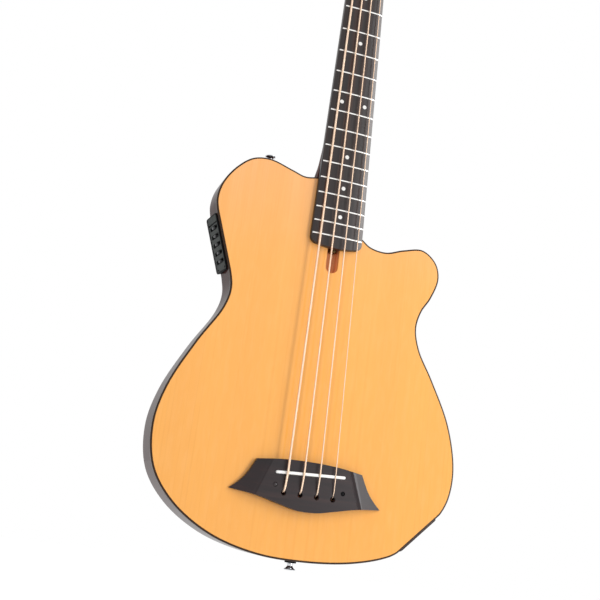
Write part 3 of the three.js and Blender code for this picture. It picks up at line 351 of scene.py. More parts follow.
class Shading:
    """The nodes of a material or of the world, added one by one."""

    def __init__(self, owner, shader="Principled BSDF", **sockets):
        owner.use_nodes = True
        self.owner, self.tree = owner, owner.node_tree
        self.shader = self.tree.nodes[shader]
        self.into(**sockets)

    def connect(self, node, inputs):
        """Links an input to a socket or sets it to a value. A colour has three numbers."""
        for key, value in inputs.items():
            socket = node.inputs[key]
            if isinstance(value, bpy.types.NodeSocket):
                self.tree.links.new(value, socket)
            else:
                socket.default_value = (*value, 1) if socket.type == "RGBA" else value

    def node(self, kind, inputs=None, **settings):
        node = self.tree.nodes.new("ShaderNode" + kind)
        for key, value in settings.items():
            setattr(node, key, value)
        self.connect(node, inputs or {})
        return node

    def into(self, **sockets):
        self.connect(self.shader, {key.replace("_", " "): value for key, value in sockets.items()})
        return self.owner

    def math(self, operation, *values):
        return self.node("Math", dict(enumerate(values)), operation=operation).outputs[0]

    def axes(self, space):
        return self.node("SeparateXYZ", {"Vector": space}).outputs

    def space(self, mirror=False, along_edge=False):
        """Coordinates in metres: the object's own, mirrored at x = 0, or along an edge."""
        if along_edge:
            return self.node("UVMap", uv_map="grain").outputs["UV"]
        place = self.node("TexCoord").outputs["Object"]
        if not mirror:
            return place
        axes = self.axes(place)
        away = self.math("ABSOLUTE", axes["X"])
        return self.node("CombineXYZ", {"X": away, "Y": axes["Y"], "Z": axes["Z"]}).outputs[0]

    def noise(self, space, stretch, detail, rough=0.55, twist=0.0):
        spread = self.node("Mapping", {"Vector": space, "Scale": stretch}).outputs[0]
        return self.node("TexNoise", {
            "Vector": spread, "Scale": 1.0, "Detail": detail, "Roughness": rough, "Distortion": twist,
        }).outputs["Fac"]

    def ramp(self, factor, stops):
        ramp = self.node("ValToRGB", {"Fac": factor})
        elements = ramp.color_ramp.elements
        while len(elements) < len(stops):
            elements.new(0.5)
        for element, (place, colour) in zip(elements, stops):
            element.position = place
            element.color = (*colour, 1)
        return ramp.outputs["Color"]

    def span(self, factor, low, high, start=0.0, end=1.0):
        return self.node("MapRange", {
            "Value": factor, "From Min": start, "From Max": end, "To Min": low, "To Max": high,
        }).outputs["Result"]

    def mix(self, factor, a, b):
        return self.node("Mix", {0: factor, 6: a, 7: b}, data_type="RGBA").outputs[2]

    def bump(self, height, depth, strength):
        return self.node("Bump", {"Height": height, "Distance": depth, "Strength": strength}).outputs[0]

    def background_rays(self):
        """1 for rays from the camera and in reflections, else 0."""
        path = self.node("LightPath").outputs
        glossy = self.math("MAXIMUM", path["Is Camera Ray"], path["Is Glossy Ray"])
        return self.math("MAXIMUM", glossy, path["Is Transmission Ray"])


def surface(name, specular=0.5, **sockets):
    return Shading(bpy.data.materials.new(name), Specular_IOR_Level=specular, **sockets)


def figured(
    name, veins, marks, stops, gloss, bump, fill=None, seam=False, wiped=False, along_edge=False, **sockets
):
    """Slow veins that set the tone, and fine marks with depth that can be filled with a colour.

    veins and marks are values of noise(), gloss and bump of span() and bump(), fill is (colour, *span).
    A seam mirrors all at x = 0. The gloss follows the veins, or the marks where the surface is wiped.
    """
    s = surface(name, **sockets)
    place = s.space(seam, along_edge)
    vein = s.noise(place, *veins)
    mark = s.noise(place, *marks) if marks else vein
    colour = s.ramp(vein, stops)
    if fill:
        colour = s.mix(s.span(mark, *fill[1:]), colour, fill[0])
    if seam:
        colour = s.mix(s.span(s.axes(place)["X"], 1, 0, 0.0002, 0.0006), colour, (0.012, 0.006, 0.004))
    shine = s.span(mark if wiped else vein, *gloss)
    return s.into(Base_Color=colour, Roughness=shine, Normal=s.bump(mark, *bump))


def lacquered_spruce():
    """Pale softwood under amber gloss: fine upright grain, mirrored at the centre joint."""
    s = surface("amber_spruce", Coat_Weight=1.0, Coat_Roughness=0.04, Coat_IOR=1.5, specular=0.0)
    space = s.space(mirror=True)
    bands = s.noise(space, (70, 1, 0.9), 2)
    lines = s.noise(space, (520, 1, 1.6), 2, 0.4)
    silk = s.noise(space, (160, 1, 35), 4, twist=0.4)
    waves = s.noise(space, (45, 45, 45), 2)
    base = s.ramp(s.span(s.axes(space)["Z"], 0, 1, -0.96, -0.52), [
        (0.0, (0.93, 0.420, 0.084)), (0.45, (0.95, 0.438, 0.095)),
        (0.74, (0.955, 0.448, 0.112)), (1.0, (0.96, 0.468, 0.178)),
    ])
    banded = s.mix(s.span(bands, 0, 0.30, 0.42, 0.62), base, (0.90, 0.395, 0.085))
    lined = s.mix(s.span(lines, 0, 0.26, 0.52, 0.72), banded, (0.80, 0.32, 0.055))
    return s.into(
        Base_Color=s.mix(s.span(silk, 0, 0.14, 0.45, 0.7), lined, (1.0, 0.56, 0.20)),
        Roughness=s.span(silk, 0.30, 0.42),
        Normal=s.bump(lines, 0.00002, 0.5),
        Coat_Normal=s.bump(waves, 0.00004, 0.35),
    )


def mahogany(name, tone=1.0, gloss=1.0, along_edge=False, seam=False):
    """Dark red-brown wood with long pores, under gloss lacquer."""
    colours = ((0.032, 0.011, 0.010), (0.060, 0.021, 0.018), (0.108, 0.040, 0.031))
    return figured(
        name,
        ((7, 120, 1) if along_edge else (120, 120, 7), 5, 0.55, 0.5),
        ((35, 1500, 1) if along_edge else (1500, 1500, 35), 1),
        [(place, tuple(tone * c for c in colour)) for place, colour in zip((0.28, 0.5, 0.75), colours)],
        (0.28, 0.42), (0.00004, 0.4), ((0.010, 0.004, 0.003), 0, 0.75, 0.60, 0.70),
        seam, along_edge=along_edge, specular=0.0,
        Coat_Weight=0.52 * gloss, Coat_Roughness=0.06, Coat_IOR=1.25,
    )


def rosewood(name, tone=1.0, painted_edge_highlight=False):
    """Oiled dark wood with brown streaks and open pores, and a pale grey strip along the rolled treble edge:
    a painted highlight that stands in for a lamp's reflection on that edge.
    """
    s = surface(name)
    space = s.space()
    streaks = s.noise(space, (210, 60, 3.2), 5, 0.6, 0.6)
    hue = s.noise(space, (90, 20, 2.0), 2)
    pores = s.noise(space, (1400, 1400, 45), 1)
    colours = ((0.009, 0.006, 0.006), (0.020, 0.012, 0.011), (0.048, 0.030, 0.027), (0.066, 0.024, 0.014))
    dark, middle, light, red = (tuple(tone * c for c in colour) for colour in colours)
    cool = s.ramp(streaks, [(0.30, dark), (0.52, middle), (0.74, light)])
    warm = s.mix(s.span(hue, 0, 0.75, 0.48, 0.70), cool, red)
    colour = s.mix(s.span(pores, 0, 0.7, 0.60, 0.72), warm, (0.012, 0.009, 0.009))
    # Painted highlight: the rolled treble edge is coloured pale grey, as if it reflected a lamp.
    if painted_edge_highlight:
        axes = s.axes(space)
        across = s.math("MULTIPLY_ADD", axes["Z"], BOARD_FLARE, axes["X"])
        edge = (NUT_WIDTH / 2 + BOARD_SPARE_TREBLE) * MM
        roll = EDGE_ROLL_WIDTH * MM
        edge_highlight = s.mix(streaks, (0.10, 0.09, 0.088), (0.23, 0.21, 0.205))
        colour = s.mix(s.span(across, 0, 0.8, edge - roll, edge - 0.8 * roll), colour, edge_highlight)
    return s.into(
        Base_Color=colour,
        Roughness=s.span(streaks, 0.25, 0.37),
        Normal=s.bump(pores, 0.00005, 0.5),
    )


def moulded(name, colour, roughness, grain, depth, **sockets):
    """Moulded plastic: a fine sandy grain with slow changes of tone and gloss."""
    stops = [(place, tuple(c * share for c in colour)) for place, share in ((0.3, 0.88), (0.7, 1.12))]
    gloss = (roughness - 0.06, roughness + 0.06, 0.3, 0.7)
    return figured(name, ((60, 60, 60), 3), ((grain,) * 3, 1), stops, gloss, (depth, 0.5), **sockets)


def metal(name, colour, roughness, scratch, spread, depth=0.00001):
    """Metal with faint wiping marks and changes of gloss."""
    stops = [(0.35, tuple(c * (1 - spread) for c in colour)), (0.65, colour)]
    gloss = (roughness * 0.7, roughness * 1.4, 0.3, 0.7)
    veins = ((90, 90, 90), 3)
    return figured(name, veins, (scratch, 2), stops, gloss, (depth, 0.3), wiped=True, Metallic=1.0)


def wound_wire(pitch=0.00045):
    """Bronze wire wound round a core: ridges along the string, with painted shade in the grooves between the
    turns.
    """
    s = surface("wound_bronze", Metallic=1.0)
    along = s.axes(s.space(along_edge=True))["Y"]
    ridge = s.math("SINE", s.math("MULTIPLY", along, 2 * pi / pitch))
    tarnish = s.noise(s.space(), (40, 40, 25), 3)
    base = s.ramp(tarnish, [(0.35, (0.93, 0.68, 0.50)), (0.7, (0.96, 0.75, 0.58))])
    return s.into(
        # Painted shade: the colour darkens in the grooves between the turns.
        Base_Color=s.mix(s.span(ridge, 0.25, 0, -1, 0.2), base, (0.58, 0.36, 0.22)),
        Roughness=s.span(tarnish, 0.34, 0.46),
        Normal=s.bump(ridge, 0.00010, 0.7),
    )


def pearl():
    s = surface("pearl", Coat_Weight=0.5, Coat_Roughness=0.1)
    swirl = s.noise(s.space(), (700, 700, 700), 3, twist=1.5)
    colour = s.ramp(swirl, [(0.35, (0.80, 0.79, 0.76)), (0.65, (0.95, 0.95, 0.94))])
    return s.into(Base_Color=colour, Roughness=s.span(swirl, 0.2, 0.4))


SPRUCE = lacquered_spruce()
RIM_WOOD = mahogany("rim_mahogany", along_edge=True)
BACK_WOOD = mahogany("back_mahogany", 1.15, seam=True)
NECK_WOOD = mahogany("neck_mahogany", 1.7, 0.5)
RAW_WOOD = mahogany("raw_mahogany", 3.2, 0.0)
# The slot liner's mahogany is painted far paler than the wood itself: painted light that stands in for the
# light falling into the deep, narrow slot.
PAINTED_LIGHT_LINER = figured(
    "liner_mahogany_painted_light", ((120, 120, 7), 5, 0.55, 0.5), ((1500, 1500, 35), 1),
    [(0.28, (0.68, 0.31, 0.15)), (0.5, (0.90, 0.45, 0.23)), (0.75, (0.97, 0.57, 0.32))],
    (0.5, 0.65), (0.00004, 0.4), ((0.30, 0.10, 0.05), 0, 0.4, 0.60, 0.70), specular=0.2,
)
EBONY = figured(
    "ebony", ((9, 60, 160), 5, 0.6, 0.4), ((60, 1500, 1500), 1),
    [(0.3, (0.007, 0.003, 0.004)), (0.55, (0.014, 0.005, 0.006)), (0.8, (0.036, 0.013, 0.010))],
    (0.27, 0.39), (0.00005, 0.5), ((0.010, 0.008, 0.008), 0, 0.5, 0.60, 0.72), specular=0.40,
)
BONE = figured(
    "bone", ((120, 300, 120), 3), ((500, 2500, 2500), 1),
    [(0.3, (0.96, 0.95, 0.93)), (0.7, (1.0, 0.995, 0.98))],
    (0.22, 0.34), (0.00001, 0.4), ((0.78, 0.72, 0.62), 0, 0.25, 0.62, 0.75),
    Subsurface_Weight=0.08, Subsurface_Radius=(0.001, 0.0007, 0.0005),
)
BRACE_WOOD = figured(
    "bare_spruce", ((40, 260, 40), 4, 0.55, 0.4), ((400, 900, 400), 1),
    [(0.3, (0.46, 0.30, 0.15)), (0.55, (0.60, 0.42, 0.23)), (0.8, (0.68, 0.52, 0.32))],
    (0.62, 0.78), (0.00008, 0.6), ((0.40, 0.25, 0.12), 0, 0.3, 0.5, 0.75), specular=0.3,
)
FELT = figured(
    "felt", ((3000, 3000, 3000), 3), None, [(0.3, (0.003, 0.003, 0.0035)), (0.7, (0.012, 0.012, 0.013))],
    (0.85, 1.0), (0.0002, 0.9), Sheen_Weight=0.15, Sheen_Roughness=0.5, specular=0.05,
)
PEARL = pearl()
BOARD_WOOD = rosewood("board_rosewood", painted_edge_highlight=True)
HEAD_WOOD = rosewood("head_rosewood", 0.8)
BINDING = moulded("dark_binding", (0.042, 0.021, 0.011), 0.3, 900, 0.00001, specular=0.15)
PANEL = moulded("panel_plastic", (0.054, 0.061, 0.058), 0.5, 1700, 0.00006, specular=0.12)
JACK_PLATE = moulded("plate_plastic", (0.030, 0.017, 0.013), 0.4, 1500, 0.00004, specular=0.2)
KNOB = moulded("knob_plastic", (0.12, 0.122, 0.125), 0.5, 2200, 0.00003, specular=0.3)
BLACK = moulded("black_plastic", (0.005, 0.005, 0.006), 0.5, 2000, 0.00003, specular=0.06)
HOUSING = moulded("housing_plastic", (0.020, 0.020, 0.022), 0.55, 1200, 0.00006)
CHROME = metal("chrome", (0.60, 0.61, 0.63), 0.09, (700, 700, 700), 0.05)
STEEL = metal("steel", (0.52, 0.53, 0.55), 0.34, (200, 200, 2500), 0.15, 0.00002)
# Brass painted far darker than bright brass: painted shade for the rod nut, which sits in the shadow under
# the board's end.
SHADOW_DARK_BRASS = metal("brass", (0.16, 0.11, 0.05), 0.4, (1800, 1800, 200), 0.12, 0.00002)
NICKEL = metal("fret_nickel", (0.86, 0.85, 0.83), 0.2, (1500, 300, 1500), 0.06)
BRONZE = wound_wire()


# The body's outline: x as a share of its width, z as a share of its length above the tail.
OUTLINE_SHARES = [
    (-0.132, 0.974), (-0.179, 0.984), (-0.258, 1.0), (-0.317, 0.992), (-0.367, 0.959),
    (-0.408, 0.907), (-0.419, 0.861), (-0.409, 0.823), (-0.344, 0.68), (-0.332, 0.633),
    (-0.346, 0.583), (-0.415, 0.486), (-0.485, 0.366), (-0.508, 0.272), (-0.485, 0.172),
    (-0.412, 0.098), (-0.289, 0.038), (-0.14, 0.006), (0.006, 0), (0.157, 0.009),
    (0.2696, 0.030), (0.3224, 0.0502), (0.4375, 0.1402), (0.4545, 0.1528), (0.4826, 0.1962),
    (0.4935, 0.272), (0.462, 0.382), (0.391, 0.492), (0.335, 0.567), (0.318, 0.622),
    (0.331, 0.669), (0.361, 0.711), (0.384, 0.769), (0.369, 0.812), (0.317, 0.841),
    (0.246, 0.83), (0.183, 0.813), (0.126, 0.818), (0.095, 0.834),
]
PREAMP_ENDS = OUTLINE_SHARES[8], OUTLINE_SHARES[7]
JACK_ENDS = OUTLINE_SHARES[22], OUTLINE_SHARES[21]


def body_point(share):
    return Vector((share[0] * BODY_WIDTH, TAIL_Z + share[1] * BODY_LENGTH))


def wall_frame(start, end, depth):
    """On a straight stretch of the wall: x along it, y into the depth, z straight out."""
    a, b = body_point(start), body_point(end)
    along = Vector((b.x - a.x, 0, b.y - a.y)).normalized()
    inward = Vector((0, 1, 0))
    turn = Matrix((along, inward, along.cross(inward))).transposed().to_4x4()
    return at((a.x + b.x) / 2, depth, (a.y + b.y) / 2) @ turn


PREAMP_LENGTH, PREAMP_HEIGHT, PREAMP_THICKNESS = 68, 34, 3.4
PREAMP_LEAN, PREAMP_HIGHER, PREAMP_SHORTER = 0.1, 1.4, 0.9
PREAMP_OPENING = 61.4, 22.4
SLIDER_PITCH = 10
JACK_LENGTH, JACK_HEIGHT, JACK_THICKNESS, JACK_LONGER = 48, 33, 2.5, 10
PREAMP = wall_frame(*PREAMP_ENDS, body_depth(body_point(PREAMP_ENDS[1]).y) / 2)
JACK = wall_frame(*JACK_ENDS, 20.5)


def flattened(points, place, before, after, fade, near=8):
    """The outline drawn flat along a wall frame, so that a plate lies against it."""
    out = []
    for point in points:
        local = place.inverted() @ Vector((point.x, place.translation.y, point.y))
        if abs(local.z) < near:
            local.z *= ease(min(max((-local.x - before) / fade, (local.x - after) / fade, 0), 1))
            point = (place @ local).xz
        out.append(point)
    return out


def body_outline():
    half = board_width(JOINT_Z) / 2
    points = spline([(-(half + HEEL_FLARE), JOINT_Z), *map(body_point, OUTLINE_SHARES)], 8)
    tongue = half - HEEL_DRAW_IN
    points += [Vector((tongue, TAIL_Z + 0.842 * BODY_LENGTH)), Vector((tongue, JOINT_Z))]
    points = flattened(points, PREAMP, PREAMP_LENGTH / 2 + 0.3, PREAMP_LENGTH / 2 + PREAMP_HIGHER, 6)
    return flattened(points, JACK, JACK_LENGTH / 2 + JACK_LONGER + 2, JACK_LENGTH / 2 + 4, 4)


OUTLINE = body_outline()
LENGTHS = [0.0]
for here, there in zip(OUTLINE, OUTLINE[1:] + OUTLINE[:1]):
    LENGTHS.append(LENGTHS[-1] + (there - here).length * MM)


def stadium():
    """The outline of the slot to the truss rod, round at its lower end."""
    top = ROD_NUT_TOP_Z + 0.2
    corners = [(SLOT_X + SLOT_RADIUS, top), (SLOT_X - SLOT_RADIUS, top)]
    return corners + arc(SLOT_X, SLOT_END_Z + SLOT_RADIUS, SLOT_RADIUS, 2, 2, 24)


def string_holes(low, high):
    shares = (-1 / 2, -1 / 6, 1 / 6, 1 / 2)
    places = [at(share * HOLE_SPREAD, 0, HOLE_Z) @ FRONT for share in shares]
    return merged(*[hole(STRING_HOLE, low, high, place) for place in places])


def rod_channel(height, low, high, y=ROD_Y, radius=0.1, steps=1):
    return plate(rounded(ROD_CHANNEL_WIDTH, height, radius, steps), low, high, at(y=y))


def deep(rise):
    """A height that follows the back."""
    return lambda z: body_depth(z) + rise


def build_body():
    top = combine(
        plate(inset(OUTLINE, BINDING_WIDTH + GLUE), 0, TOP_THICKNESS),
        form(stadium(), [(-0.6, -1), (-0.6, -0.05), (0, 0.5), (0, 4)], FRONT),
        string_holes(-1, 4),
    )
    piece("top_board", top, SPRUCE, "spruce_top", ["soundboard"])

    levels = [(BINDING_WIDTH, BINDING_HEIGHT), (BINDING_WIDTH, 0)]
    levels += round_levels(0, BINDING_HEIGHT, 1.2, steps=6)
    piece("edge_binding", form(OUTLINE, levels, FRONT, True), BINDING, "binding", ["top_binding"])

    rim, under_top, under_binding = BINDING_WIDTH + GLUE, TOP_THICKNESS + GLUE, BINDING_HEIGHT + GLUE
    levels = [
        (0, under_binding), (0, 18), (0, deep(-WALL)), (WALL, deep(-WALL)),
        (WALL, under_top), (rim, under_top), (rim, under_binding),
    ]
    across = [5, 20, 45, 45, 3, 3, 5]

    def grain(row, column):
        """Along the edge, and across it at each of the levels."""
        return LENGTHS[column], across[row % len(across)] * MM

    openings = {
        "bass": [
            plate(rounded(*PREAMP_OPENING, 0.2, 1), -8, 4, PREAMP),
            hole(PEG_HOLE, -12, 4, at(SHOULDER_X, NECK_DEPTH / 2, TAIL_Z + BODY_LENGTH)),
        ],
        "treble": [hole(JACK_HOLE, -8, 4, JACK)],
    }
    for side, (name, cutters) in zip((-1, 1), openings.items()):
        wall = form(OUTLINE, levels, FRONT, True, grain)
        tail_hole = hole(PEG_HOLE, -4, 8, at(0, TAIL_DEPTH / 2, TAIL_Z))
        rod = rod_channel(ROD_CHANNEL_HEIGHT, JOINT_Z - 8, JOINT_Z + 4, radius=0.3, steps=2)
        wall = combine(keep_half(wall, side), *cutters, tail_hole, rod)
        piece(f"rim_{name}", wall, RIM_WOOD, "mahogany", [f"side_{name}"])

    levels = [(step, deep(rise)) for step, rise in round_levels(-WALL, 0, 0, 2, 5)]
    piece("back_board", form(OUTLINE, levels, FRONT), BACK_WOOD, "mahogany", ["back_plate"])

    border = 9
    left, right = SLOT_X - SLOT_RADIUS - border, SLOT_X + SLOT_RADIUS + border
    low, high = SLOT_END_Z - border, JOINT_Z - NECK_BLOCK_LENGTH - GLUE
    block = [(left, low), (right, low), (right, high), (left, high)]
    tray = combine(plate(block, under_top, 16), plate(stadium(), 2, 14))
    piece("slot_liner", tray, PAINTED_LIGHT_LINER, "mahogany", ["slot_tray"])


# Neck, board, frets and nut

HEEL_SHARES = [
    (0, 0, 0), (0.28, 0.07, 0.1), (0.52, 0.27, 0.3), (0.72, 0.55, 0.5), (0.88, 0.85, 0.8), (1, 1, 1),
]
DEPTH_AT_NUT, DEPTH_BELOW_NUT, DEPTH_AT_HEEL = 21.5, 21, 24
BLEND_TOP_Z, BLEND_END_Z = 23, -18


def heel_growth(steps=5):
    """The heel's shares of (place, depth, squareness), smoothed between those that are given."""
    places = spline([(a, b) for a, b, _ in HEEL_SHARES], steps)
    squares = spline([(a, c) for a, _, c in HEEL_SHARES], steps)
    return [(p.x, p.y, s.y) for p, s in zip(places, squares)]


def neck_ring(z, top, depth, squareness=0.0, sides=44):
    """A section of the neck: flat in front, round behind, and squarer and shifted at the heel."""
    half = board_width(min(z, 0)) / 2
    bass = -half - HEEL_FLARE * squareness + NECK_SHY
    treble = half - HEEL_DRAW_IN * squareness - NECK_SHY
    ring = []
    for i in range(sides + 1):
        angle = pi * i / sides
        x = (bass + treble) / 2 - (treble - bass) / 2 * cos(angle)
        ring.append((x, top + (depth - top) * max(sin(angle), 0) ** (0.85 - 0.43 * squareness), z))
    return ring


def head_outline():
    shares = [
        (0.452, 0), (0.48, 0.06), (0.88, 0.16), (1, 0.27), (0.975, 0.6), (0.9, 0.84), (0.55, 0.96), (0, 1),
    ]
    right = spline([(x * HEAD_HALF, z * HEAD_LENGTH) for x, z in shares], 8)
    return [*right, *[Vector((-p.x, p.y)) for p in reversed(right[:-1])]]


# Each tuner: its string, the side that its key is on, and x and z on the head.
POSTS = [("e", -1, -27, 60), ("a", -1, -27, 125), ("d", 1, 27, 125), ("g", 1, 27, 60)]


def post_holes(low, high):
    return [hole(POST_HOLE, low, high, HEAD @ at(x, 0, z) @ FRONT) for _, _, x, z in POSTS]


def build_neck():
    rings = []
    back, slope = HEAD_THICKNESS / cos(HEAD_TILT), tan(HEAD_TILT)
    for z in (23, 20, 16, 12, 9, 6):
        share = ease((BLEND_TOP_Z - z) / (BLEND_TOP_Z - 5))
        depth = (BLEND_TOP_Z * slope + back - 0.5) * (1 - share) + DEPTH_AT_NUT * share
        rings.append(neck_ring(z, z * slope + 1, depth))
    for z in (5, 0, -6, -12, -18):
        rings.append(neck_ring(z, 0, DEPTH_AT_NUT - 0.5 * ease((5 - z) / (5 - BLEND_END_Z))))
    heel_top = JOINT_Z + GLUE + HEEL_LENGTH
    for i in range(1, 10):
        along = (heel_top - BLEND_END_Z) * i / 10
        depth = DEPTH_BELOW_NUT + (DEPTH_AT_HEEL - DEPTH_BELOW_NUT) * along / (heel_top - BLEND_END_Z)
        rings.append(neck_ring(BLEND_END_Z + along, 0, depth))
    for along, deeper, squareness in heel_growth():
        depth = DEPTH_AT_HEEL + (body_depth(JOINT_Z) - DEPTH_AT_HEEL) * deeper
        rings.append(neck_ring(heel_top - HEEL_LENGTH * along, 0, depth, squareness))
    head = plate(head_outline(), 0, HEAD_THICKNESS, HEAD @ FRONT, high_radius=2)
    # Moved by a hair, the head shares no edge with the neck, and the two join cleanly.
    neck = combine(skin(rings), moved(head, at(0.013, 0.004, -0.05)), operation="UNION")
    neck = combine(
        neck, *post_holes(-2, 20), rod_channel(ROD_CHANNEL_HEIGHT, JOINT_Z - 5, -7.8),
        rod_channel(14.4, JOINT_Z + 23.8, -7.8, 4.5),
    )
    piece("neck_shaft", neck, NECK_WOOD, "mahogany", ["neck"], sharp=38)


def board_outline():
    """The board from the nut to its end, which is nearly straight and has round corners."""
    half, radius = BOARD_END_WIDTH / 2, BOARD_END_ROUND
    bass = radius - half - BOARD_SPARE_BASS
    treble = half + BOARD_SPARE_TREBLE - radius
    bulge = [
        ((bass + treble + side * (treble - bass)) / 2, BOARD_CORNER_Z - BOARD_END_BULGE * (1 - side * side))
        for side in (i / 12 - 1 for i in range(1, 24))
    ]
    return [
        (NUT_WIDTH / 2 + BOARD_SPARE_TREBLE, -GLUE), (-NUT_WIDTH / 2 - BOARD_SPARE_NUT, -GLUE),
        *arc(bass, BOARD_CORNER_Z + radius, radius, 2, 1, 10), *bulge,
        *arc(treble, BOARD_CORNER_Z + radius, radius, 3, 1, 10),
    ]


def build_board():
    board = crowned(plate(board_outline(), -BOARD_THICKNESS, -GLUE, low_radius=0.9, steps=3), 3, 31, -3)
    lean = Vector((1, 0, BOARD_FLARE)).normalized()
    for i in range(3):
        split(board, (NUT_WIDTH / 2 + BOARD_SPARE_TREBLE - EDGE_ROLL_WIDTH * (1 - i / 3), 0, 0), lean)
    lowered(board, -3, lambda p: edge_roll(p.x, p.z))
    piece("board", board, BOARD_WOOD, "rosewood", ["fingerboard"])


def fret_wire(number):
    """A fret that follows the crown and the rolled edge, and thins out at its ends."""
    z, foot = fret_z(number), 0.15
    spare = BOARD_SPARE_NUT + (BOARD_SPARE_BASS - BOARD_SPARE_NUT) * z / BOARD_WIDEST_Z
    left = board_width(z) / 2 + spare - FRET_SHORT_BASS
    right = board_width(z) / 2 + BOARD_SPARE_TREBLE - FRET_SHORT_TREBLE
    rings = []
    for share in (-1, -0.985, -0.965, *(i / 14 for i in range(-13, 14)), 0.965, 0.985, 1):
        rise = min(1.0, 0.7 + (1 - abs(share)) / 0.035 * 0.3)
        x = (right - left) / 2 + share * (right + left) / 2
        ground = -BOARD_THICKNESS + crown_drop(x) + edge_roll(x, z)
        ring = [(x, ground + 0.4, z + side * (FRET_WIDTH / 2 - 0.2)) for side in (-1, 1)]
        for angle in (pi * k / 10 for k in range(11)):
            y = ground + foot - (FRET_CROWN + foot) * rise * sin(angle) ** 0.8
            ring.append((x, y, z + FRET_WIDTH / 2 * cos(angle)))
        rings.append(ring)
    return skin(rings)


def board_dot(x, z):
    low, high = -BOARD_THICKNESS - 0.05, -BOARD_THICKNESS + 0.8
    return follow_crown(plate(disc(2.5, 40, x, z), low, high, low_radius=0.05, steps=1), 0)


def build_frets():
    wires = [fret_wire(number) for number in range(1, FRETS + 1)]
    piece("fret_wires", merged(*wires), NICKEL, "steel", sharp=50)
    spots = [*((-0.3, number) for number in (3, 5, 7, 9, 15, 17, 19)), (-15.3, 12), (14.9, 12)]
    dots = [board_dot(x, (fret_z(number) + fret_z(number - 1)) / 2) for x, number in spots]
    piece("board_dots", merged(*dots), PEARL, "bone")


def build_nut():
    outline = rounded(NUT_WIDTH, NUT_THICKNESS - GLUE, 0.5, 3)
    height = BOARD_THICKNESS + FRET_CROWN + 0.6 + 0.575
    nut = plate(outline, -height, -GLUE, at(z=(NUT_THICKNESS + GLUE) / 2) @ FRONT, low_radius=0.6)
    grooves = []
    for string in STRINGS:
        along = (string["saddle"] - string["nut"]).normalized()
        route = [string["nut"] + along * 5, string["nut"], string["coil"][0]]
        grooves.append(tube(route, string["radius"] + 0.12, 20))
    piece("nut_block", combine(crowned(nut, 2, 18, -3), *grooves), BONE, "bone", ["nut"])


# Strings

STRING_SIZES = (2.6, 2.1, 1.65, 1.15)
STRINGS_AT_HOLES, STRINGS_AT_SADDLE, STRINGS_AT_NUT = 9.3, 12.65, 8.7
DRUM_RADIUS = 6.0
DRUM_START = -5.1
TURNS = 2.5


def wind(start, post, radius, steps=48):
    """A string's turns round its post, from where a line from the start meets them."""
    _, side, x, z = post
    wound = DRUM_RADIUS + radius + 0.12
    to_centre = Vector((x, z)) - start
    reach = sqrt(to_centre.length_squared - wound**2)
    lean = asin(wound / to_centre.length) * side
    touch = start + Matrix.Rotation(lean, 2) @ to_centre.normalized() * reach
    first = atan2(touch.y - z, touch.x - x)
    foot, pitch = DRUM_START - radius - 0.2, 2 * radius + 0.15
    points = []
    for i in range(int(TURNS * steps) + 1):
        angle = first - side * 2 * pi * i / steps
        spot = (x + wound * cos(angle), foot - pitch * i / steps, z + wound * sin(angle))
        points.append(HEAD @ Vector(spot))
    return points


def make_string(order):
    radius = STRING_SIZES[order] / 2
    share = order / 3 - 0.5
    nut_x, saddle_x, hole_x = share * NUT_SPREAD, share * SADDLE_SPREAD, share * HOLE_SPREAD
    mouth = Vector((hole_x, -(STRINGS_AT_HOLES + radius * 0.6), HOLE_Z + 2.3 - radius))
    saddle_y = -(STRINGS_AT_SADDLE + radius) + crown_drop(saddle_x)
    saddle = Vector((saddle_x, saddle_y, SADDLE_Z + SADDLE_SLANT * saddle_x))
    nut = Vector((nut_x, -(STRINGS_AT_NUT + radius) + crown_drop(nut_x), NUT_THICKNESS / 2))
    coil = wind((HEAD.inverted() @ nut).xz, POSTS[order], radius)
    return dict(name=POSTS[order][0], radius=radius, mouth=mouth, saddle=saddle, nut=nut, coil=coil)


STRINGS = [make_string(order) for order in range(4)]


def softened(route, reach, steps=6):
    """A route with each inner corner turned into a short curve."""
    out = [route[0]]
    for before, corner, after in zip(route, route[1:], route[2:]):
        size = min(reach, (corner - before).length / 2, (after - corner).length / 2)
        a = corner + (before - corner).normalized() * size
        b = corner + (after - corner).normalized() * size
        for i in range(steps + 1):
            t = i / steps
            out.append(a * (1 - t) ** 2 + corner * 2 * t * (1 - t) + b * t**2)
    return [*out, route[-1]]


def string_route(string):
    """From the ball, bent over the mouth of its hole, the saddle and the nut, to the first turn."""
    mouth, saddle, nut = string["mouth"], string["saddle"], string["nut"]
    lower = softened([Vector((mouth.x, 8, HOLE_Z)), mouth, saddle, nut], 7.0, 10)
    lower = lower[:len(lower) // 2]
    upper = softened([saddle, nut, string["coil"][0]], 3.0)
    return [*lower, *softened([lower[-1], saddle, nut], 3.0)[1:-1], *upper[1:]]


def build_strings():
    for string in STRINGS:
        wire = tube([*string_route(string)[:-1], *string["coil"]], string["radius"])
        profile = [(0, 6.4), (3.1, 6.4), (3.6, 6.9), (3.6, 9.1), (3.1, 9.6), (0, 9.6)]
        ball = lathe(profile, at(string["mouth"].x, 0, HOLE_Z) @ FRONT)
        name = string["name"]
        piece(f"wire_{name}", merged(wire, ball), BRONZE, "bronze", [f"string_{name}"], sharp=60)


# Bridge and saddle

BRIDGE_HALF, BRIDGE_LENGTH, BRIDGE_BELOW = 88.2, 53.5, 20
BRIDGE_CENTRE = Vector((-0.5, SADDLE_Z - 20))
BRIDGE_TURN = Matrix.Rotation(radians(-0.55), 2)
WING_PROFILE = ((0, 0), (0.4, 0.4), (1.2, 1.55), (1.9, 1.85), (3.6, 1.45), (5.0, 1.15), (6.0, 1.25))
WING_FLAT, WING_FLAT_DROP, WING_TIP_DROP = 6, 1.25, 6.5


def bridge_point(share, side=1):
    """A point of the bridge, which sits turned by half a degree."""
    local = Vector((side * share[0] * BRIDGE_HALF, share[1] * BRIDGE_LENGTH - BRIDGE_BELOW))
    return BRIDGE_CENTRE + BRIDGE_TURN @ local


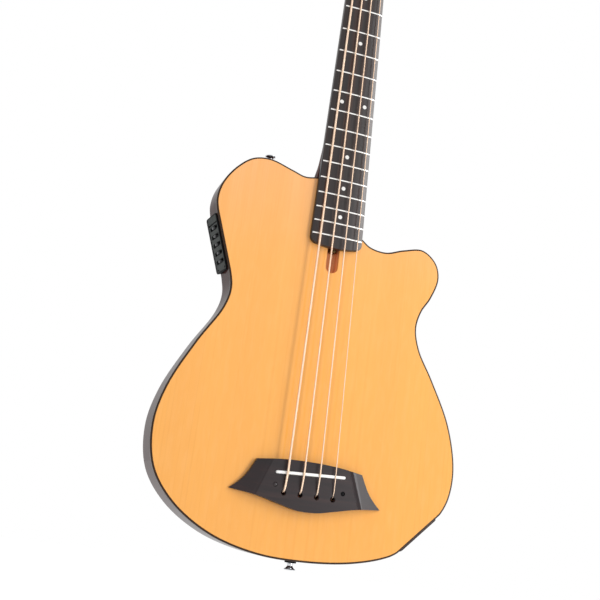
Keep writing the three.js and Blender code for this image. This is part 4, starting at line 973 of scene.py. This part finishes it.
def bridge_outline():
    wing = [(0.697, 0.912), (0.802, 0.589), (0.898, 0.402), (1, 0.26)]
    top = [(0.697, 0.912), (0.36, 0.978), (0, 1)]
    foot = [(1, 0.26), (0.659, 0.196), (0.352, 0.084), (0.12, 0.008)]

    def across(shares):
        treble = [bridge_point(s) for s in shares]
        return spline([*treble, *[bridge_point(s, -1) for s in reversed(shares) if s[0]]], 8)

    bass_wing = spline([bridge_point(s, -1) for s in wing], 6)
    treble_wing = spline([bridge_point(s) for s in reversed(wing)], 6)
    return [*across(top)[:-1], *bass_wing[:-1], *across(foot)[:0:-1], *treble_wing[:-1]]


def wing_drop(out, reach, groove):
    """How far a wing lies below the middle: a groove along the ridge, then a slope to the tip."""
    for (a, low), (b, high) in zip(WING_PROFILE, WING_PROFILE[1:]):
        if out < b:
            carved = low + (high - low) * (out - a) / (b - a)
            plain = WING_FLAT_DROP * (out / WING_FLAT) ** 1.6
            return plain + (carved - plain) * groove
    return WING_FLAT_DROP + (WING_TIP_DROP - WING_FLAT_DROP) * (out - WING_FLAT) / (reach - WING_FLAT)


def carve_wing(bm, side):
    """Slices a wing along its ridge and lowers it to its profile."""
    spots = (bridge_point(s, side) for s in ((0.51, 0.9), (0.67, 0.2), (1, 0.26)))
    base, foot, tip = (Vector((p.x, -BRIDGE_HEIGHT, p.y)) for p in spots)
    out = (foot - base).normalized().cross(Vector((0, 1, 0))).normalized()
    reach = (tip - base).dot(out)
    if reach < 0:
        out, reach = -out, -reach
    slope = (WING_FLAT + i * 4 for i in range(1, int(reach / 4)))
    for distance in (*(a for a, _ in WING_PROFILE), *slope):
        split(bm, base + out * distance, out)
    for vert in bm.verts:
        distance = (vert.co - base).dot(out)
        if vert.co.y < 0.1 - BRIDGE_HEIGHT and distance > 0:
            vert.co.y = -BRIDGE_HEIGHT + wing_drop(distance, reach, 1.0 if side > 0 else 0.25)


def saddle_outline(length, width):
    turn = Matrix.Rotation(atan(SADDLE_SLANT), 2)
    return [turn @ p + Vector((0, SADDLE_Z)) for p in rounded(length, width, width / 2 - 0.05)]


def build_bridge():
    bridge = plate(bridge_outline(), -BRIDGE_HEIGHT, -GLUE)
    for side in (-1, 1):
        carve_wing(bridge, side)
    bevel(bridge, 0.5, 60, lambda e: all(v.co.y < -1 for v in e.verts))
    chamfer = [(0, -20), (3.3, -20), (3.3, -9.05), (2.4, -8.1), (0, -8.1)]
    bolts = [at(side * BOLT_X, 0, BOLT_Z) @ FRONT for side in (-1, 1)]
    bridge = combine(
        bridge, plate(saddle_outline(81.4, 3.7), -20, -3.4), string_holes(-20, 2),
        *[lathe(chamfer, at(s["mouth"].x, 0, HOLE_Z) @ FRONT) for s in STRINGS],
        *[tube(string_route(s)[:16], s["radius"] + 0.15, 20) for s in STRINGS],
        *[hole(2.6, -12, -7.4, bolt) for bolt in bolts],
    )
    piece("bridge_block", bridge, EBONY, "ebony", ["bridge"], sharp=14)

    profile = [(0, -8.5), (1.6, -8.45), (2.3, -8.25), (2.5, -8.0), (2.5, -7.45), (0, -7.45)]
    # Both bolt caps are the same black cap. The bass one gets the browner ebony only because it is lit
    # differently: a painted difference of light.
    looks = (("bass", EBONY, "ebony"), ("treble", BLACK, "black_plastic"))
    for bolt, (name, material, slot) in zip(bolts, looks):
        piece(f"bridge_bolt_cap_{name}", lathe(profile, bolt), material, slot)

    saddle = crowned(plate(saddle_outline(81, 3.3), -12.5, -4.8, low_radius=1.1), 3, 40, -8)
    piece("saddle_bar", saddle, BONE, "bone", ["saddle"])


# Preamp on the bass side and the jack on the treble side


def screw_head(radius, height, place, slots=2):
    """A domed screw head with one slot or a cross cut in it."""
    profile = [(0, 0), (1, 0), (1, 0.35), (0.86, 0.72), (0.5, 0.95), (0, 1)]
    head = lathe([(radius * r, height * h) for r, h in profile], None, 28)
    arm = rounded(radius * 1.25, radius * 0.26, 0.05, 1)
    turns = [Matrix.Rotation(i * pi / 2, 4, "Z") for i in range(slots)]
    return moved(combine(head, *[plate(arm, height * 0.35, height * 2, turn) for turn in turns]), place)


def wedged(bm):
    """Panel parts are made level, then rise towards the back, and then go to the wall."""
    for vert in bm.verts:
        if vert.co.z > 0.5:
            vert.co.z += PREAMP_LEAN * vert.co.y
    return moved(bm, PREAMP)


def panel_outline(back, sides, front):
    """The panel's outline, drawn in by a border on each side."""
    low, high = 2.2 - PREAMP_HEIGHT / 2 + front, 1.8 + PREAMP_HEIGHT / 2 - back
    outline = rounded(PREAMP_LENGTH - PREAMP_SHORTER - 2 * sides, high - low, 3.5 - sides)
    return [p + Vector((PREAMP_HIGHER - PREAMP_SHORTER / 2 + 0.4, (low + high) / 2)) for p in outline]


def build_preamp():
    face, flat = PREAMP_THICKNESS, Matrix.Identity(4)
    middles = [at((2 - order) * SLIDER_PITCH) for order in range(5)]
    housing = combine(
        plate(panel_outline(0, 0, 0), GLUE, face, flat, high_radius=0.6),
        plate(panel_outline(4.4, 1.3, 1.0), face - 0.9, 9, flat),
        *[plate(rounded(3.2, 21, 1.5, 5), -2, 9, middle) for middle in middles],
    )
    cover = combine(
        plate(panel_outline(4.45, 1.35, 1.05), face - 0.9, face - 0.1, flat, high_radius=0.3, steps=2),
        *[plate(rounded(5.0, 24, 2.2, 5), -2, 9, middle) for middle in middles],
        plate(rounded(2.0, 44, 0.2, 1), face - 2, 7, at(24.9)),
    )
    piece("preamp_frame", wedged(housing), BLACK, "black_plastic", ["preamp_panel"])
    piece("preamp_cover", wedged(cover), PANEL, "black_plastic")

    spots = [at(-28.6, y, face + PREAMP_LEAN * y - 0.15) for y in (-10.6, 11.2)]
    screws = [screw_head(1.4, 0.4, PREAMP @ spot) for spot in spots]
    piece("preamp_screws", merged(*screws), BLACK, "black_plastic")

    for number, middle in enumerate(middles, 1):
        place = PREAMP @ middle
        stem = plate(rounded(2, 2, 0.3, 2), -5, 3.0, place)
        cap = plate(rounded(3.0, 6.0, 0.7, 4), 2.6, 4.8, place, 0.15, 0.6)
        ridge = plate(rounded(2.4, 0.5, 0.2, 2), 4.6, 4.9, place, 0, 0.1)
        knob = merged(stem, cap, ridge)
        piece(f"knob_{number}", knob, KNOB, "grey_plastic", [f"slider_{number}"], f"slide_{number}")


def build_jack():
    top, bore = GLUE + JACK_THICKNESS, 4.75
    outline = rounded(JACK_LENGTH + JACK_LONGER, JACK_HEIGHT, 4)
    cover = plate([p - Vector((JACK_LONGER / 2, 0)) for p in outline], GLUE, top, JACK, high_radius=0.9)
    cover = combine(cover, hole(4.9, -2, 6, JACK))
    piece("jack_cover", cover, JACK_PLATE, "black_plastic", ["jack_plate"])

    spots = [at(x, y, top) for x in (-19.3 - JACK_LONGER, 19.3) for y in (-11.8, 11.8)]
    screws = [screw_head(1.9, 0.7, JACK @ spot) for spot in spots]
    piece("jack_screws", merged(*screws), BLACK, "black_plastic")

    face = top + GLUE
    profile = [(bore, face), (7.4, face), (7.4, face + 0.5), (7.1, face + 0.7), (bore, face + 0.7)]
    washer = lathe(profile, JACK, closed=True)
    nut = plate(disc(7.4, 6), face + 0.7, face + 2.4, JACK, high_radius=0.3, steps=2)
    nut = combine(nut, hole(bore, -2, 8, JACK))
    thread = []
    for i in range(9):
        step = face + 0.1 + i * 0.42
        thread += [(4.7, step), (4.55, step + 0.21)]
    sleeve = lathe([
        (0, -27.1), (9.5, -27.1), (9.5, -0.1), (4.7, -0.1), (4.7, face), *thread, (4.4, face + 4.0),
        (3.7, face + 4.0), (3.3, face + 3.6), (3.3, -24.1), (0, -24.1),
    ], JACK)
    piece("jack_socket", merged(washer, nut, sleeve), CHROME, "chrome", ["output_jack"])


def build_strap_buttons():
    tail = at(0, TAIL_DEPTH / 2, TAIL_Z) @ Matrix.Rotation(pi, 4, "X")
    top = max((v.co / MM).z for v in nodes["strap_button_shoulder"].data.vertices)
    shoulder = at(SHOULDER_X, NECK_DEPTH / 2, top - 10.4)
    for name, place, screw in (("tail", tail, 17), ("shoulder", shoulder, 8)):
        peg = lathe([
            (0, -screw), (1.0, -screw), (2.0, 2 - screw), (2.0, 1.4), (4.6, 1.4), (5.0, 1.7), (5.0, 2.3),
            (4.4, 2.9), (3.6, 3.8), (3.2, 4.9), (3.25, 5.9), (3.9, 7.2), (5.2, 8.4), (6.2, 8.9),
            (6.5, 9.3), (6.5, 9.8), (6.1, 10.24), (5.2, 10.39), (3.4, 10.39), (2.2, 9.3), (0, 9.3),
        ], place)
        piece(f"strap_peg_{name}", peg, CHROME, "chrome", [f"strap_button_{name}"], sharp=24)
        piece(f"strap_screw_{name}", screw_head(2.1, 1.0, place @ at(z=9.3)), STEEL, "steel")
        washer = lathe([
            (2.2, 0.05), (6.2, 0.05), (6.5, 0.4), (6.5, 2.1),
            (6.1, 2.5), (5.2, 2.5), (5.1, 1.38), (2.2, 1.38),
        ], place, closed=True)
        piece(f"felt_washer_{name}", washer, FELT, "black_plastic")


# Headstock

GEAR_Y, WORM_Z = 22.2, 14.0
TEETH, TOOTH_FOOT, TOOTH_TOP = 20, 9, 10.7
PLATE_BACK, PLATE_FRONT = 17.1, 15.1


def gear_outline():
    tooth = ((TOOTH_FOOT, -0.85), (TOOTH_TOP, -0.4), (TOOTH_TOP, 0.4), (TOOTH_FOOT, 0.85))
    corners = [(radius, 2 * pi * i / TEETH + aside / radius) for i in range(TEETH) for radius, aside in tooth]
    return [(radius * cos(angle), radius * sin(angle)) for radius, angle in corners]


def worm_thread(steps=30):
    pitch, length, sunk = pi, 13.0, 2.4
    count = round(length / pitch * steps)
    rings = []
    for i in range(count + 1):
        along = (i / count - 0.5) * length
        angle = 2 * pi * (along - pitch / 2) / pitch - pi / 2
        outer = 3.0 + 1.8 * max(min(1.0, i / 12, (count - i) / 12), 0.05)
        rings.append([
            (along + aside, GEAR_Y + radius * cos(angle), WORM_Z + radius * sin(angle))
            for radius, aside in ((sunk, -0.75), (sunk, 0.75), (outer, 0.35), (outer, -0.35))
        ])
    return skin(rings)


def gear_plate(place, turned):
    """The plate with its screws and its two ears, which hold the worm's shaft."""
    across = Matrix(((0, 0, 1, 0), (1, 0, 0, 0), (0, 1, 0, 0), (0, 0, 0, 1)))
    bore = place @ at(0, GEAR_Y, WORM_Z) @ Matrix.Rotation(pi / 2, 4, "Y")
    profile = [(PLATE_FRONT, 19.5), (PLATE_FRONT, 8.5), *arc(GEAR_Y, WORM_Z, 5.5, -1, 2, 20)]
    ears = [
        combine(plate(profile, low, low + 3, place @ across, 0.4, 0.4, 2), hole(3.2, -20, 20, bore))
        for low in (-12, 9)
    ]
    outline = [p + Vector((0, 5)) for p in rounded(24, 38, 3)]
    base = plate(outline, PLATE_FRONT, PLATE_BACK, turned, high_radius=0.5)
    base = combine(base, hole(5.2, 10, 20, turned))
    spots = [at(x, z, PLATE_BACK) for x in (-8.6, 8.6) for z in (-10.6, 20.9)]
    return merged(base, *ears, *[screw_head(2.1, 1.1, turned @ spot) for spot in spots])


def build_tuner(name, side, x, z):
    place = HEAD @ at(x, 0, z)
    turned = place @ FRONT
    bush = lathe([
        (5.2, -3.8), (8.6, -3.8), (9.7, -3.5), (10.0, -3.0),
        (10.0, -2.2), (8.0, -2.2), (8.0, 5.8), (5.2, 5.8),
    ], turned, 64, closed=True)
    piece(f"bushing_{name}", bush, CHROME, "chrome", [f"post_bushing_{name}"])
    backing = gear_plate(place, turned)
    piece(f"gear_plate_{name}", backing, CHROME, "chrome", [f"tuner_plate_{name}"])

    post = lathe([
        (0, 25.8), (2.7, 25.8), (3.2, 25.4), (3.2, 23.2), (5, 23.2), (5, -4.1), (7.0, -4.1), (7.2, -4.3),
        (7.2, -4.9), (7.0, DRUM_START), (DRUM_RADIUS, DRUM_START), (DRUM_RADIUS, -20.1), (6.6, -20.4),
        (7.2, -21.3), (7.2, -22.3), (6.6, -22.9), (5, -23.5), (0, -23.5),
    ], turned)
    post = combine(post, plate(rounded(2.4, 20, 0.2, 2), -30, -21.6, turned))
    gear = plate(gear_outline(), GEAR_Y - 2, GEAR_Y + 2, turned, 0.25, 0.25, 1)
    screw = screw_head(2.4, 0.9, turned @ at(z=25.8), 1)
    post = merged(post, gear, screw)
    piece(f"winding_post_{name}", post, CHROME, "chrome", [f"string_post_{name}"], f"post_{name}")

    edge = HEAD_HALF - abs(x) + 4
    shaft = lathe([
        (0, -13.5), (2.6, -13.5), (3.0, -13.1), (3.0, 12.8), (3.0, edge - 2.2), (4.0, edge - 1.6),
        (4.4, edge - 0.8), (4.0, edge + 0.4), (2.4, edge + 1.4), (2.2, edge + 10), (0, edge + 10),
    ], place @ at(0, GEAR_Y, WORM_Z) @ Matrix.Rotation(side * pi / 2, 4, "Y"))
    rise = [(3.2, -2.5), (1.6, -2.35), (0.6, -1.9), (0.1, -1.0)]
    levels = [*rise, (0, 0), *[(step, -height) for step, height in reversed(rise)]]
    leaf = form(
        rounded(20, 26, 9, 12), [(step, GEAR_Y + height) for step, height in levels],
        place @ at(side * (edge + 10), 0, WORM_Z) @ FRONT,
    )
    key = merged(shaft, leaf, moved(worm_thread(), place))
    piece(f"key_knob_{name}", key, CHROME, "chrome", [f"tuning_key_{name}"], f"key_{name}")


def build_headstock():
    veneer = plate(head_outline(), -2.1, -GLUE, HEAD @ FRONT, low_radius=0.6, steps=3)
    start, reach = 6.3, 300
    above_nut = plate(rounded(120, reach, 1, 1), -10, 10, HEAD @ at(z=start + reach / 2) @ FRONT)
    veneer = combine(combine(veneer, above_nut, operation="INTERSECT"), *post_holes(-6, 4))
    piece("head_veneer", veneer, HEAD_WOOD, "rosewood", ["headstock_overlay"])
    for post in POSTS:
        build_tuner(*post)


def build_rod_nut():
    axis, high = at(y=ROD_Y), ROD_NUT_TOP_Z
    low = high - 13
    nut = lathe([(0, low), (4.6, low), (5, low + 0.4), (5, high - 0.4), (4.6, high), (0, high)], axis)
    nut = combine(nut, plate(disc(2.6, 6), low - 2, low + 5, axis), hole(2.6, high - 6.2, high + 2, axis))
    piece("rod_nut_brass", nut, SHADOW_DARK_BRASS, "brass", ["truss_rod_nut"], "rod_nut")


def dress_hidden_nodes():
    """The pieces inside keep their solids and get their materials."""
    looks = {
        BRACE_WOOD: (
            "top_lining", "back_lining", "tone_bar_bass", "tone_bar_treble", "upper_transverse_brace",
            "back_brace_upper", "back_brace_lower", "bridge_plate",
        ),
        RAW_WOOD: ("neck_block", "tail_block"),
        STEEL: ("truss_rod", "pickup_strip", "battery"),
        HOUSING: ("preamp_housing",),
    }
    for material, names in looks.items():
        for name in names:
            for slot in nodes[name].material_slots:
                slot.material = material


# Camera, floor and light


def build_camera():
    camera = bpy.data.cameras.new("camera")
    camera.sensor_width = 36
    camera.lens = 56.4045
    camera.shift_x = 0.03244
    camera.shift_y = -0.09181
    view = placed("camera", camera)
    view.location = (-0.34079, -1.01363, -0.92492)
    view.rotation_euler = [radians(a) for a in (106.62680866, -7.35344079, -17.31749872)]
    bpy.context.scene.camera = view


def build_floor(height=-1.25, size=6.0):
    mesh = bpy.data.meshes.new("floor")
    corners = [(x * size, y * size, height) for x, y in ((-1, -1), (1, -1), (1, 1), (-1, 1))]
    mesh.from_pydata(corners, [], [(0, 1, 2, 3)])
    s = surface("floor", Base_Color=(0.85, 0.85, 0.85), Roughness=0.9, specular=0.1)
    glow = s.math("MULTIPLY", s.background_rays(), 0.55)
    mesh.materials.append(s.into(Emission_Color=(1, 1, 1), Emission_Strength=glow))
    floor = placed("floor", mesh)


def build_world(level=0.63):
    world = bpy.data.worlds.new("world")
    bpy.context.scene.world = world
    s = Shading(world, "Background", Color=(1, 1, 1))
    s.into(Strength=s.span(s.background_rays(), level, 1.0))


def add_lamp(name, place, target, size, power):
    light = bpy.data.lights.new(name, "AREA")
    light.shape = "RECTANGLE"
    light.size, light.size_y = size
    light.energy = power
    lamp = placed(name, light)
    lamp.location = place
    lamp.rotation_euler = (Vector(target) - Vector(place)).to_track_quat("-Z", "Y").to_euler()


def build_stage():
    build_camera()
    build_floor()
    build_world()
    add_lamp("key", (1.7, -1.4, 0.42), (0, 0, -0.65), (1.35, 1.25), 23)
    add_lamp("low", (1.22, -1.5, -0.7), (0.06, 0, -0.88), (0.34, 0.6), 11)
    bpy.context.scene.view_settings.view_transform = "Standard"


build_stage()
build_body()
build_neck()
build_board()
build_frets()
build_nut()
build_strings()
build_bridge()
build_preamp()
build_jack()
build_strap_buttons()
build_headstock()
build_rod_nut()
dress_hidden_nodes()
